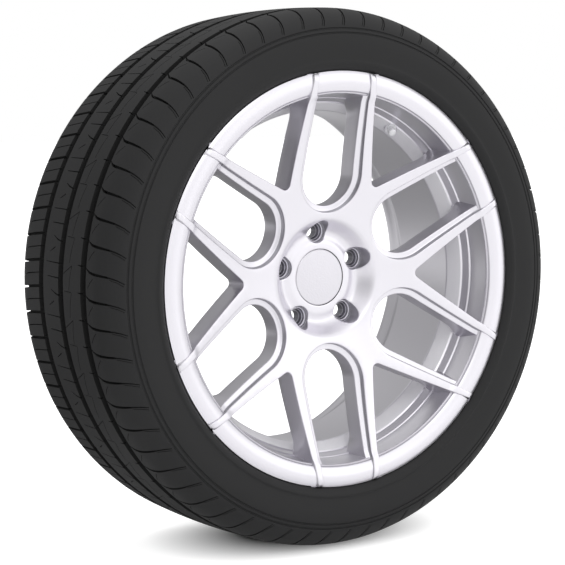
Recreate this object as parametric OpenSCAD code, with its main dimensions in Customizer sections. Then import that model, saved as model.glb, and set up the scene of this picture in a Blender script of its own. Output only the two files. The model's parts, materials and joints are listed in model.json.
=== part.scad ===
// Car wheel and tyre. A one-piece cast alloy wheel with six Y-shaped spokes carries a
// low-profile tyre, a snap-in centre cap and a clamp-in metal valve.
// The axle runs along Y: the outer face looks toward -Y, the car is toward +Y, and +Z is up.
// The origin is the centre of the hub mounting face. Depths are Y values from that face.

// Piece to build, or all of them

/* [Rim] */
// Diameter of the bead seats
rim_d = 462; // [430:1:490]
// Width between the inner faces of the two flanges
rim_w = 203.2; // [190:0.1:230]
// Height of the flanges above the bead seats
flange_h = 17.3; // [15:0.1:19]
// Depth of each flange, from its inner face to its outer edge
flange_t = 12; // [10:0.5:14]
// Distance of the mounting face outboard of the rim's centre plane
wheel_offset = 35; // [28:1:40]
// How far the rounded lip stands proud of the flange's edge
lip_crown = 1.5; // [0.5:0.1:3]
// Width of the rounded lip on the face
lip_w = 21.5; // [17:0.5:25]
// Wall between the bead seat and the inside of the barrel
seat_wall = 8; // [6:0.5:10]
// Wall of the well
well_wall = 6; // [4.5:0.5:8]
// Depth of the barrel's narrowest part under the bead seats
drop_d = 31; // [27:0.5:35]
// Length of each bead seat
seat_len = 22; // [20:0.5:25]

/* [Spokes] */
// Length of the spoke face's rise that its bow takes up, as a share
face_bow = 0.35; // [0:0.05:0.6]
// Depth of a spoke from its face to its back
spoke_t = 33.5; // [28:0.5:38]
// Radius at which the spoke face starts
root_r = 77; // [74:0.5:80]
// Radius of the U window's round end
u_r = 44.3; // [40:0.1:47]
// Distance of that round end's centre from the axle
u_x = 123.7; // [120:0.1:128]
// Angle by which each side of the U window closes toward the rim
u_taper = 3.5; // [2:0.1:5]
// Width of the step round the U window, at its round end
ledge_w = 8; // [5:0.5:10]
// Width of that step at the rim
ledge_tip_w = 6; // [4:0.5:8]
// Depth of that step under the spoke face
ledge_drop = 7; // [4:0.5:10]
// How much deeper the step runs where it passes under the lip
ledge_sink = 5; // [3:0.5:6]
// Half the angle between the two arms' inner sides
v_half = 36.8; // [35:0.1:38]
// Distance from the axle at which the lines of those sides meet
v_x = 121.6; // [119:0.1:125]
// Radius in the V window's corner
v_r = 7; // [4:0.5:10]
// Height of the spoke's rib above the lip
rib_h = 2.4; // [1:0.1:4]

/* [Hub] */
// Thickness from the mounting face to the boss round the cap
hub_t = 23.5; // [21:0.5:28]
// Radius of the mounting pad
pad_r = 74; // [72:0.5:76]
// Height of the spoke face above that boss
hub_dish = 18; // [14:0.5:22]
// Radius of the boss round the cap
boss_r = 45; // [41:0.5:46]
// Half width of the boss's rounded edge
boss_round = 3; // [1:0.5:4]
// Depth of the valley round the boss
valley_d = 1.4; // [0.5:0.1:4]
// Radius of the hub bore
hub_bore_r = 33.3; // [32:0.05:36]
// Length of the hub bore's wall, behind the groove that the cap's clips snap into
hub_bore_l = 9.4; // [8:0.1:9.6]
// Depth of that groove beyond the hub bore
clip_groove_d = 1.2; // [0.8:0.1:2]
// Diameter of the bolt circle
bolt_circle_d = 112; // [108:0.5:120]
// Number of bolt holes
bolt_n = 5; // [5:1:5]
// Radius of a bolt hole
bolt_hole_r = 7.5; // [7:0.1:8.5]
// Radius of the pocket over each bolt hole
pocket_r = 14; // [12.5:0.1:15]
// Turn of the bolt holes against the spokes
bolt_turn = 3.5; // [0:0.5:20]
// Depth of the bolt seat's rim from the mounting face
seat_depth = 17; // [14:0.5:19]
// Radius of the bolt seat's cone at its rim
seat_r = 11.6; // [10:0.1:12.5]
// Depth of the pockets cast in the back between the bolt holes
back_pocket_d = 9; // [5:0.5:12]

/* [Tyre] */
// Nominal section width
tyre_w = 245; // [225:5:255]
// Section height as a percentage of that width
tyre_aspect = 40; // [35:5:45]
// Depth of the tread grooves
groove_d = 7.5; // [5:0.1:9]
// Width of a main groove
groove_w = 12; // [8:0.5:14]
// Place of the outer groove across the tread, from the tyre's centre
groove_out = -63; // [-66:0.5:-58]
// Place of the middle groove
groove_mid = -11; // [-16:0.5:-6]
// Place of the inner groove
groove_in = 40; // [35:0.5:46]
// Number of tread pitches round the tyre
pitch_n = 66; // [48:2:72]
// Width of a shoulder groove
lateral_w = 3.4; // [2:0.1:5]
// Land between a main groove and the start of a shoulder groove
lateral_gap = 3; // [2:0.5:6]
// How far an outer shoulder groove runs round the tyre on its way to the side wall
sweep_out = 16; // [8:1:20]
// The same for an inner shoulder groove
sweep_in = 7; // [4:1:12]
// Radius of the shoulder's rounding
shoulder_r = 43; // [38:0.5:48]
// Depth of the flat that the tyre's own weight presses on its tread
flat_d = 1.6; // [0.5:0.1:3]
// Gap between the tyre's bead and the rim
bead_gap = 0.15; // [0.05:0.05:0.3]

/* [Centre cap] */
// Radius of the cap's face
cap_r = 34.2; // [32:0.1:36]
// Thickness of the cap's face
cap_t = 3; // [2:0.1:4]
// Rise of the cap's face at its middle
cap_dome = 0.8; // [0.2:0.1:1.5]
// Radius of the wheel's bore that the clips snap through
clip_bore_r = 31.6; // [30:0.1:32.5]
// Length of that bore
clip_bore_l = 5; // [3:0.5:6]
// Number of clips
clip_n = 6; // [4:1:8]
// Thickness of a clip
clip_t = 1.8; // [1.2:0.1:2.5]
// Thickness of the spring ring's wire
ring_wire_d = 1.6; // [1:0.1:2]
// Gap round the cap's face and clips
cap_gap = 0.3; // [0.1:0.05:0.6]

/* [Valve] */
// Place of the valve round the wheel, from +X toward +Z
valve_angle = 59.5; // [50:0.5:70]
// Angle between the valve and the axle
valve_tilt = 38; // [30:1:50]
// Place of the valve on its band, as a share from the band's front edge
valve_share = 0.24; // [0.2:0.02:0.6]
// Diameter of the stem's shank
stem_d = 8.2; // [7.5:0.1:9]
// Diameter of the stem over its cap thread
thread_d = 7.7; // [7:0.1:8]
// Diameter of the head inside the tyre and of its seal
head_d = 15; // [13:0.5:17]
// Diameter of the nut's flange
nut_d = 13.6; // [12:0.1:17]
// Thickness of the head
head_t = 2.6; // [2:0.1:4]
// Thickness of the rubber seal
seal_t = 2; // [1.5:0.1:3]
// Thickness of the wall clamped between seal and nut
valve_wall = 4.4; // [3.5:0.1:5.5]
// Height of the nut
nut_h = 2.6; // [2:0.1:5]
// Width of the nut across its flats
nut_af = 11; // [10.5:0.5:14]
// Length of the stem past the nut
stem_out = 5.6; // [5:0.1:10]
// Radius of the core's bore in the stem
core_r = 2.6; // [2.3:0.05:2.9]
// Diameter of the valve cap
vcap_d = 9.6; // [9.5:0.1:12]
// Travel of the core's pin
pin_travel = 1; // [0.6:0.1:1.5]
// Running gap round the core's pin
pin_gap = 0.12; // [0.05:0.01:0.2]
// Gap between the parts of the valve that seat on each other
seat_gap = 0.05; // [0.01:0.01:0.2]

/* [Hidden] */
fine = 96;
eps = 0.02;
spoke_n = 6;
spoke_step = 360 / spoke_n;
seat_rim_r = rim_d / 2;
lip_r = seat_rim_r + flange_h;
// Inside radius of the barrel at its narrowest
barrel_r = seat_rim_r - drop_d;
// Depth of the rim's centre plane, of the outer lip's edge and of the inner lip's edge
mid_y = wheel_offset;
front_y = mid_y - rim_w / 2 - flange_t;
rear_y = mid_y + rim_w / 2 + flange_t;
lip_in_r = lip_r - lip_w;
// Depth of the face where the spokes start, and where they reach the lip
root_y = -(hub_t + hub_dish);
tip_y = front_y + 0.4;
seat_taper = tan(5);
far = 2 * lip_r;
// Slight angle at which a window's straight side leaves its round end, so the two meet in an edge
side_kink = 2;

// A run of points on an arc in the half plane of radius and depth
function arc(c, r, a0, a1, n) = [for (i = [0:n]) let (a = a0 + (a1 - a0) * i / n)
    [c[0] + r * cos(a), c[1] + r * sin(a)]];
// The same points seen from the tyre's other side
function mirrored(pts) = [for (i = [len(pts) - 1:-1:0]) [pts[i][0], -pts[i][1]]];
function shifted(pts, dy) = [for (p = pts) [p[0], p[1] + dy]];

// Depth of the spoke face at a radius: a line that bows forward toward the lip
function face_y(r) = let (t = (r - root_r) / (lip_in_r - root_r))
    root_y + (tip_y - root_y) * ((1 - face_bow) * t + face_bow * t * t);
// Depth of the cove between the hub's valley and the spoke face
cove_r = boss_r + 8;
cove_y = -hub_t + valley_d;
function cove_rise(r) = cove_y + (root_y - cove_y)
    * (1 - cos(180 * (r - cove_r) / (root_r - cove_r))) / 2;

// The disc's section: face, rib end, inside of the lip and barrel, back and pad
face_steps = 9;
cove_steps = 7;
back_steps = 6;
rib_steps = 9;
spoke_out_r = seat_rim_r - seat_wall - 1.5;
pad_edge_r = pad_r + 10;
// The rib over the lip: it rises to its top at rib_top_r and falls away to the lip's edge
rib_top_r = lip_r - 8.8;
rib_top_y = front_y - lip_crown - rib_h;
rise_power = 1.35;
fall_power = 3.4;
function rib_y(r) = rib_top_y + (r < rib_top_r
    ? (tip_y - rib_top_y) * pow((rib_top_r - r) / (rib_top_r - lip_in_r), rise_power)
    : (front_y - rib_top_y) * pow((r - rib_top_r) / (lip_r - rib_top_r), fall_power));
disc_section = concat(
    [[0, -hub_t], [boss_r - boss_round, -hub_t], [boss_r, -hub_t + 0.35 * valley_d],
     [boss_r + boss_round, -hub_t + 0.85 * valley_d]],
    [for (i = [0:cove_steps]) let (r = cove_r + (root_r - cove_r) * i / cove_steps)
        [r, cove_rise(r)]],
    [for (i = [1:face_steps]) let (r = root_r + (lip_in_r - root_r) * i / face_steps)
        [r, face_y(r)]],
    [for (i = [1:rib_steps]) let (r = lip_in_r + (lip_r - 0.1 - lip_in_r) * i / rib_steps)
        [r, rib_y(r)]],
    [[lip_r - 0.6, front_y + 2.2], [lip_r - 8, front_y + 3.5], [seat_rim_r - 2, front_y + 9],
     [spoke_out_r + 1, front_y + 15], [spoke_out_r, face_y(spoke_out_r) + spoke_t]],
    [for (i = [1:back_steps])
        let (r = spoke_out_r + (pad_edge_r - spoke_out_r) * i / back_steps)
        [r, face_y(r) + spoke_t]],
    [[pad_r + 3, -1.5], [pad_r, 0], [0, 0]]);

// The rim's section: tyre side from the front edge to the rear edge, then the inside
seat_in_y = front_y + flange_t + 2.5;
seat_end_y = front_y + flange_t + seat_len;
seat_end_r = seat_rim_r - (seat_end_y - seat_in_y) * seat_taper;
hump_h = 1.2;
well_r = barrel_r + well_wall;
well_in_y = front_y + 58;
well_out_y = front_y + 88;
band_front_y = front_y + 46.6;
band_front_r = barrel_r + 10;
band_rear_y = front_y + 61.5;
flare_y = rear_y - 53;
flare_r = barrel_r + 13;
step_y = flare_y - 8;
// The tyre side of the front flange, from its edge to the bead seat
function flange_side(grow) = [
    [lip_r + grow, front_y + 1.2], [lip_r + grow, front_y + 3.4],
    [lip_r - 1.2 + grow, front_y + 6.6 + grow], [lip_r - 4.4 + grow, front_y + 9.6 + grow],
    [lip_r - 8.6 + grow, front_y + 11.5 + grow], [seat_rim_r + 4.4 + grow, front_y + flange_t + grow],
    [seat_rim_r + 1 + grow, front_y + flange_t + 0.8 + grow], [seat_rim_r + grow, seat_in_y + grow],
    [seat_end_r + grow, seat_end_y]];
function rear_of(pts) = [for (i = [len(pts) - 1:-1:0]) [pts[i][0], 2 * mid_y - pts[i][1]]];
lip_arc_n = 8;
// The lip's rounded face: a parabola between its inner edge and the flange's edge
lip_face = [for (i = [0:lip_arc_n]) let (t = i / lip_arc_n, r = lip_in_r + lip_w * t)
    [r, front_y - lip_crown + 6.2 * pow(max(0, 0.62 - t) / 0.62, 2)
        + (lip_crown + 0.6) * pow(max(0, t - 0.62) / 0.38, 2)]];
rim_section = concat(
    flange_side(0),
    [[seat_end_r + hump_h, seat_end_y + 3.5], [seat_end_r + hump_h, seat_end_y + 5],
     [well_r, well_in_y], [well_r + 2.6, well_out_y],
     [flare_r + well_wall, flare_y - 4]],
    rear_of([[seat_end_r, seat_end_y], [seat_end_r + hump_h, seat_end_y + 3.5],
             [seat_end_r + hump_h - 1, seat_end_y + 6]]),
    [[seat_end_r, 2 * mid_y - seat_end_y]],
    rear_of([for (i = [0:7]) flange_side(0)[i]]),
    [[lip_r - 1.5, rear_y], [lip_r - 7, rear_y], [seat_rim_r + 1, rear_y - 8],
     [seat_rim_r - seat_wall + 2, rear_y - 15], [seat_rim_r - seat_wall, rear_y - 38],
     [flare_r + 3.5, flare_y + 4.5], [flare_r, flare_y], [flare_r - 0.6, step_y],
     [flare_r - 2.2, step_y - 0.8], [barrel_r, band_rear_y],
     [band_front_r, band_front_y], [band_front_r + 1.2, band_front_y - 1.4],
     [seat_rim_r - seat_wall - 7.2, front_y + 35.2], [seat_rim_r - seat_wall - 6, front_y + 33.6],
     [seat_rim_r - seat_wall - 3, front_y + 20], [lip_in_r - 3.2, front_y + 11.5]],
    lip_face);

// The tyre's section: half of the outside, from the bead to the crown
tyre_r = (rim_d - 4.8) / 2 + tyre_w * tyre_aspect / 100;
half_w = rim_w / 2 + flange_t + (tyre_w - rim_w) * 0.155;
crown_bow_r = tyre_r * 3.8;
crown_half = half_w - 38.4;
crown_a = asin(crown_half / crown_bow_r);
shoulder_c = [tyre_r - crown_half * crown_half / (2 * crown_bow_r) - shoulder_r * cos(crown_a),
              crown_half - shoulder_r * sin(crown_a)];
shoulder_end_a = 60;
// Radii of the two fine lines that end the tread, and of the rim protector
line_a_r = tyre_r - 27;
line_b_r = tyre_r - 32;
protector_r = lip_r + 10.8;
bulge_r = (tyre_r + lip_r) / 2 - 6;
edge_u = rim_w / 2 + flange_t;
tyre_half = concat(
    [[lip_r + 0.6, edge_u - 1.6], [lip_r + 3.6, edge_u + 1.6], [protector_r - 3, half_w - 1.4],
     [protector_r, half_w - 0.9], [protector_r + 1.4, half_w - 2.2],
     [bulge_r - 10, half_w - 0.7], [bulge_r, half_w], [bulge_r + 8, half_w - 0.5],
     [line_b_r - 1.2, half_w - 2.3], [line_b_r, half_w - 3.5], [line_b_r + 1.2, half_w - 3.1],
     [line_a_r - 1, half_w - 4.6], [line_a_r, half_w - 6.2], [line_a_r + 1, half_w - 5.6]],
    arc(shoulder_c, shoulder_r, shoulder_end_a, crown_a, 6),
    [for (i = [3:-1:1]) let (u = crown_half * i / 4) [tyre_r - u * u / (2 * crown_bow_r), u]]);
tread_t = 17;
liner_r = tyre_r - tread_t;
toe_u = rim_w / 2 - seat_len;
liner_half = [
    [seat_end_r + hump_h / 2, toe_u - 0.4], [seat_rim_r + 4, toe_u + 1.5], [lip_r - 9, toe_u + 12],
    [lip_r + 3, half_w - 20], [bulge_r - 14, half_w - 10.5], [bulge_r, half_w - 9],
    [bulge_r + 12, half_w - 11.5], [liner_r - 12, half_w - 22], [liner_r - 4.4, half_w - 38],
    [liner_r - 1.6, crown_half * 0.6]];
// The bead's side that faces the flange and the seat
bead_side = [for (p = flange_side(bead_gap)) [p[0], p[1] - mid_y]];
tyre_section = concat(
    [for (p = bead_side) if (p[1] > front_y - mid_y + 3) p],
    [for (p = liner_half) [p[0], -p[1]]],
    [[liner_r, 0]],
    [for (i = [len(liner_half) - 1:-1:0]) liner_half[i]],
    [for (i = [len(bead_side) - 1:-1:0]) if (bead_side[i][1] > front_y - mid_y + 3)
        [bead_side[i][0], -bead_side[i][1]]],
    tyre_half,
    [[tyre_r, 0]],
    mirrored(tyre_half));

// The valve's place: its base on the band inside the barrel, and its axis
valve_base_y = band_front_y + (band_rear_y - band_front_y) * valve_share;
valve_base_r = band_front_r + (barrel_r - band_front_r) * valve_share;
// Heights along the valve's axis from its base on the band, outward into the open
seal_top = -valve_wall;
head_top = seal_top - seal_t;
stem_top = nut_h + stem_out;
core_top = stem_top - 0.6;
core_seat = core_top - 4.2;
core_foot = core_seat - 2;
core_throat_r = core_r - 0.7;
neck_r = core_r - 1.25;
pin_r = 0.55;
pin_top = core_top + 0.4;
cup_h = 1.4;
cup_r = core_throat_r - 0.35;
pin_flange_t = 0.4;
spring_wire = 0.32;
spring_turns = 4;
// The spring's room: its coils pressed solid, the pin's travel and a turn's slack
spring_room = spring_wire * (spring_turns + 1) + pin_travel + 0.9;
spring_z = core_foot - cup_h - pin_flange_t - spring_room;
air_r = pin_r + 0.45;

// Turns a shape drawn about the z axis so that this axis becomes the axle
module on_axle() {
    rotate([-90, 0, 0]) children();
}

// Puts a shape at an angle from +X toward +Z, about the axle
module at_angle(a) {
    rotate([0, 0, -a]) children();
}

// Puts a shape drawn about the z axis, with its base at z = 0, on the valve's axis
module on_valve() {
    on_axle() at_angle(valve_angle) translate([valve_base_r, 0, valve_base_y])
        rotate([0, 180 + valve_tilt, 0]) children();
}

// Outline of the U window, with its round end toward the axle
module u_outline(r, half_angle) {
    translate([u_x, 0]) circle(r, $fn = fine);
    tangent_x = u_x + r * sin(half_angle + side_kink);
    tangent_y = r * cos(half_angle + side_kink);
    end_y = tangent_y - (far - tangent_x) * tan(half_angle);
    polygon([[tangent_x, tangent_y], [far, end_y], [far, -end_y], [tangent_x, -tangent_y]]);
}

// Outline of the V window between the two arms of a spoke
module v_outline() {
    centre_x = v_x + v_r / sin(v_half);
    tangent_x = centre_x - v_r * sin(v_half - side_kink);
    tangent_y = v_r * cos(v_half - side_kink);
    end_y = tangent_y + (far - tangent_x) * tan(v_half);
    translate([centre_x, 0]) circle(v_r, $fn = fine);
    polygon([[tangent_x, tangent_y], [far, end_y], [far, -end_y], [tangent_x, -tangent_y]]);
}

// The twelve slim arms and the hub's disc, before the windows are cut
module disc_blank() {
    rotate_extrude($fn = fine) polygon(disc_section);
}

// Depth of the step round the U windows: it grows shallower toward the rim
function ledge_y(r) = face_y(min(r, lip_in_r))
    + ledge_drop * (1.15 - 0.45 * min(1, (r - root_r) / (lip_in_r - root_r)));

// Everything in front of that step
module above_ledge() {
    ledge_steps = 8;
    in_r = root_r - 2;
    out_r = lip_r + 2;
    sunk_y = ledge_y(lip_in_r) + ledge_sink;
    rotate_extrude($fn = fine) polygon(concat(
        [for (i = [0:ledge_steps]) let (r = in_r + (lip_in_r - in_r) * i / ledge_steps)
            [r, ledge_y(r)]],
        [[lip_in_r + 1.5, sunk_y], [out_r, sunk_y], [out_r, 3 * front_y], [in_r, 3 * front_y]]));
}

module windows() {
    deep_taper = u_taper - (ledge_w - ledge_tip_w) / (lip_r - u_x) * 57.3;
    for (k = [0:spoke_n - 1]) {
        rotate([0, 0, spoke_step * k])
            translate([0, 0, 3 * front_y]) linear_extrude(5 * abs(front_y)) v_outline();
        rotate([0, 0, spoke_step * (k + 0.5)])
            translate([0, 0, 3 * front_y]) linear_extrude(5 * abs(front_y))
                u_outline(u_r - ledge_w, deep_taper);
    }
    intersection() {
        above_ledge();
        translate([0, 0, 3 * front_y]) linear_extrude(5 * abs(front_y))
            for (k = [0:spoke_n - 1]) rotate(spoke_step * (k + 0.5)) u_outline(u_r, u_taper);
    }
}

// The stepped bore: cap recess, clip bore and hub bore
module hub_bore() {
    recess_y = -hub_t + cap_t + seat_gap;
    clip_end_y = recess_y + clip_bore_l;
    groove_r = hub_bore_r + clip_groove_d;
    chamfer = 1.2;
    wall_y = -chamfer - hub_bore_l;
    rotate_extrude($fn = fine) polygon([
        [0, -2 * hub_t], [cap_r + cap_gap, -2 * hub_t], [cap_r + cap_gap, recess_y],
        [clip_bore_r, recess_y], [clip_bore_r, clip_end_y], [groove_r, clip_end_y + 1],
        [groove_r, wall_y - 1], [hub_bore_r, wall_y], [hub_bore_r, -chamfer],
        [hub_bore_r + chamfer, 0], [hub_bore_r + chamfer, 1], [0, 1]]);
}

// One bolt hole with its conical seat and its round pocket
module bolt_hole() {
    cone_h = (seat_r - bolt_hole_r) / tan(30);
    rotate_extrude($fn = fine) polygon([
        [0, 3 * front_y], [pocket_r, 3 * front_y], [pocket_r, -seat_depth],
        [seat_r, -seat_depth], [seat_r, -seat_depth + 0.8],
        [bolt_hole_r, -seat_depth + 0.8 + cone_h], [bolt_hole_r, 1], [0, 1]]);
}

// One pocket cast in the back of the hub, between two bolt holes
module back_pocket() {
    inner_r = hub_bore_r + 7;
    outer_r = pad_r - 6;
    corner = 5;
    half_a = 180 / bolt_n - asin((bolt_hole_r + 9) / (bolt_circle_d / 2));
    translate([0, 0, -back_pocket_d]) linear_extrude(back_pocket_d + 1)
        offset(corner, $fn = 24) offset(-corner) intersection() {
            difference() {
                circle(outer_r, $fn = fine);
                circle(inner_r, $fn = fine);
            }
            polygon([[0, 0], [far * cos(half_a), far * sin(half_a)],
                     [far * cos(half_a), -far * sin(half_a)]]);
        }
}

module valve_hole() {
    translate([0, 0, -2 * head_d]) cylinder(r = stem_d / 2 + 0.15, h = 3 * head_d, $fn = 48);
    translate([0, 0, -valve_wall - head_d]) cylinder(r = head_d / 2 + 0.8, h = head_d, $fn = 48);
    cylinder(r = head_d / 2 + 1.2, h = head_d, $fn = 48);
}

module alloy_wheel() {
    color([0.86, 0.86, 0.88]) {
        difference() {
            on_axle() difference() {
                union() {
                    difference() {
                        disc_blank();
                        windows();
                    }
                    rotate_extrude($fn = fine) polygon(rim_section);
                }
                hub_bore();
                for (k = [0:bolt_n - 1]) {
                    at_angle(90 + bolt_turn + 360 / bolt_n * k) translate([bolt_circle_d / 2, 0, 0])
                        bolt_hole();
                    at_angle(90 + bolt_turn + 360 / bolt_n * (k + 0.5)) back_pocket();
                }
            }
            on_valve() valve_hole();
        }
    }
}

// Circle of the tread at a place across it
function tread_r(u) = abs(u) < crown_half ? tyre_r - u * u / (2 * crown_bow_r)
    : shoulder_c[0] + sqrt(max(0, shoulder_r * shoulder_r - pow(abs(u) - shoulder_c[1], 2)));

// One main groove round the tread
module main_groove(u) {
    rotate_extrude($fn = fine) polygon([
        [tread_r(u) + 2, u - groove_w / 2 - 0.4], [tread_r(u) - groove_d, u - groove_w / 2 + 1],
        [tread_r(u) - groove_d, u + groove_w / 2 - 1], [tread_r(u) + 2, u + groove_w / 2 + 0.4]]);
}

// One shoulder groove: an S-shaped slot that runs from near a main groove over the shoulder
module lateral_groove(u0, u1, sweep) {
    n = 6;
    mid = [for (i = [0:n]) let (t = i / n)
        [u0 + (u1 - u0) * t, sweep * (t - 0.32 * sin(360 * t) / 2)]];
    translate([tread_r(u1) - 3.2, 0, 0]) rotate([0, 90, 0]) linear_extrude(2 * shoulder_r)
        polygon(concat([for (p = mid) [-p[0], p[1] + lateral_w / 2]],
                       [for (i = [n:-1:0]) [-mid[i][0], mid[i][1] - lateral_w / 2]]));
}

module tyre() {
    shoulder_u = shoulder_c[1] + shoulder_r * sin(shoulder_end_a - 4);
    color([0.19, 0.19, 0.2])
        difference() {
            on_axle() translate([0, 0, mid_y]) difference() {
                rotate_extrude($fn = fine) polygon(tyre_section);
                for (u = [groove_out, groove_mid, groove_in]) main_groove(u);
                for (k = [0:pitch_n - 1]) rotate([0, 0, 360 / pitch_n * k]) {
                    lateral_groove(groove_out - groove_w / 2 - lateral_gap, -shoulder_u, -sweep_out);
                    lateral_groove(groove_in + groove_w / 2 + lateral_gap, shoulder_u, -sweep_in);
                }
            }
            translate([0, mid_y, -1.5 * tyre_r + flat_d]) cube([tyre_r, 2 * tyre_w, tyre_r], true);
        }
}

module centre_cap() {
    back_y = -hub_t + cap_t;
    leg_end_y = back_y + clip_bore_l + 4.2;
    leg_out_r = clip_bore_r - cap_gap;
    dome_steps = 7;
    color([0.82, 0.82, 0.84]) on_axle() {
        rotate_extrude($fn = fine) polygon(concat(
            [for (i = [0:dome_steps])
                [(cap_r - 1) * i / dome_steps, -hub_t - cap_dome * (1 - pow(i / dome_steps, 2))]],
            [[cap_r, -hub_t + 0.8], [cap_r, back_y], [0, back_y]]));
        difference() {
            rotate_extrude($fn = fine) polygon([
                [leg_out_r - clip_t, back_y - eps], [leg_out_r, back_y - eps],
                [leg_out_r, back_y + clip_bore_l + 0.6], [leg_out_r + 1.1, back_y + clip_bore_l + 1.6],
                [leg_out_r + 0.9, back_y + clip_bore_l + 2.4], [leg_out_r - 0.8, leg_end_y],
                [leg_out_r - clip_t, leg_end_y]]);
            for (k = [0:clip_n - 1]) rotate([0, 0, 360 / clip_n * k])
                translate([0, -6, back_y]) cube([cap_r, 12, clip_bore_l + 6]);
        }
    }
}

module cap_spring_ring() {
    ring_r = clip_bore_r - cap_gap - clip_t - ring_wire_d / 2 - seat_gap;
    color([0.7, 0.7, 0.72]) on_axle()
        translate([0, 0, -hub_t + cap_t + clip_bore_l + 1.4])
            rotate_extrude(angle = 340, $fn = fine)
                translate([ring_r, 0]) circle(ring_wire_d / 2, $fn = 24);
}

module valve_stem() {
    color([0.75, 0.75, 0.77]) on_valve() rotate_extrude($fn = 48) polygon([
        [air_r, head_top - head_t], [head_d / 2 - 0.6, head_top - head_t],
        [head_d / 2, head_top - head_t + 0.6], [head_d / 2, head_top - seat_gap],
        [stem_d / 2, head_top - seat_gap], [stem_d / 2, -0.4], [thread_d / 2, 0],
        [thread_d / 2, stem_top - 0.5], [thread_d / 2 - 0.5, stem_top], [core_r, stem_top],
        [core_r, core_seat], [core_throat_r, core_seat - 0.9], [core_throat_r, spring_z],
        [air_r, spring_z]]);
}

module valve_seal() {
    color([0.13, 0.13, 0.13]) on_valve() translate([0, 0, head_top])
        rotate_extrude($fn = 48) polygon([
            [stem_d / 2 + seat_gap, 0], [head_d / 2 - 0.3, 0], [head_d / 2 - 0.3, seal_t - seat_gap],
            [stem_d / 2 + seat_gap, seal_t - seat_gap]]);
}

module valve_nut() {
    color([0.85, 0.85, 0.87]) on_valve() translate([0, 0, seat_gap]) difference() {
        union() {
            cylinder(r = nut_d / 2, h = 1, $fn = 48);
            cylinder(r = nut_af / 2 / cos(30), h = nut_h - seat_gap, $fn = 6);
        }
        translate([0, 0, -1]) cylinder(r = thread_d / 2 + seat_gap, h = nut_h + 2, $fn = 48);
    }
}

module core_housing() {
    color([0.8, 0.68, 0.35]) on_valve() rotate_extrude($fn = 36) polygon([
        [pin_r + pin_gap, core_foot], [neck_r + 0.35, core_foot], [neck_r + 0.35, core_foot + 0.5],
        [neck_r, core_foot + 0.5], [neck_r, core_seat + 0.9], [core_r - seat_gap, core_seat + 0.9],
        [core_r - seat_gap, core_top], [pin_r + 0.7, core_top], [pin_r + 0.7, core_top - 1],
        [pin_r + pin_gap, core_top - 1.4]]);
}

module core_gasket() {
    inside = neck_r + seat_gap;
    color([0.75, 0.2, 0.15]) on_valve() rotate_extrude($fn = 36) polygon([
        [inside, core_foot + 0.55], [core_throat_r - seat_gap, core_foot + 0.55],
        [core_throat_r - seat_gap, core_seat - 0.88], [core_r - seat_gap, core_seat + 0.02],
        [core_r - seat_gap, core_seat + 0.85], [inside, core_seat + 0.85]]);
}

module core_pin() {
    flange_top = core_foot - cup_h - seat_gap;
    color([0.8, 0.68, 0.35]) on_valve() rotate_extrude($fn = 36) polygon([
        [0, spring_z + 0.2], [pin_r, spring_z + 0.2], [pin_r, flange_top - pin_flange_t],
        [cup_r, flange_top - pin_flange_t], [cup_r, flange_top], [pin_r, flange_top],
        [pin_r, pin_top - 0.4], [pin_r - 0.2, pin_top], [0, pin_top]]);
}

module core_seal() {
    color([0.13, 0.13, 0.13]) on_valve() rotate_extrude($fn = 36) polygon([
        [pin_r + seat_gap, core_foot - cup_h], [cup_r, core_foot - cup_h],
        [cup_r, core_foot - seat_gap], [pin_r + seat_gap, core_foot - seat_gap]]);
}

module core_spring() {
    sides = 6;
    per_turn = 14;
    n = spring_turns * per_turn;
    low = spring_z + spring_wire / 2 + seat_gap;
    high = core_foot - cup_h - seat_gap - pin_flange_t - spring_wire / 2 - seat_gap;
    r = (pin_r + core_throat_r) / 2 + 0.05;
    points = [for (i = [0:n]) let (a = 360 * i / per_turn, z = low + (high - low) * i / n)
        for (j = [0:sides - 1]) let (b = 360 * j / sides, q = r + spring_wire / 2 * cos(b))
            [q * cos(a), q * sin(a), z + spring_wire / 2 * sin(b)]];
    walls = [for (i = [0:n - 1]) for (j = [0:sides - 1])
        let (k = (j + 1) % sides, s = i * sides, e = s + sides) [s + j, e + j, e + k, s + k]];
    color([0.6, 0.6, 0.62]) on_valve() polyhedron(points, concat(walls,
        [[for (j = [0:sides - 1]) j], [for (j = [sides - 1:-1:0]) n * sides + j]]));
}

module valve_cap() {
    inside = thread_d / 2 + 0.1;
    base = nut_h + 0.25;
    roof = stem_top + 1.1;
    color([0.88, 0.88, 0.9]) on_valve() rotate_extrude($fn = 48) polygon([
        [inside, base], [vcap_d / 2 - 0.4, base], [vcap_d / 2, base + 0.4],
        [vcap_d / 2, roof + 0.6], [vcap_d / 2 - 0.9, roof + 1.4], [0, roof + 1.6],
        [0, roof], [inside, roof]]);
}

module valve_cap_seal() {
    color([0.13, 0.13, 0.13]) on_valve() translate([0, 0, stem_top + seat_gap])
        rotate_extrude($fn = 36) polygon([
            [core_r, 0], [thread_d / 2, 0], [thread_d / 2, 1.1 - 2 * seat_gap],
            [core_r, 1.1 - 2 * seat_gap]]);
}

tyre();
alloy_wheel();
centre_cap();
cap_spring_ring();
valve_stem();
valve_seal();
valve_nut();
core_housing();
core_gasket();
core_pin();
core_seal();
core_spring();
valve_cap();
valve_cap_seal();
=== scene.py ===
"""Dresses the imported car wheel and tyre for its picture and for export."""
import json
import math

import bmesh
import bpy
import numpy as np
from mathutils import Matrix, Vector
from mathutils.geometry import delaunay_2d_cdt


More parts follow.
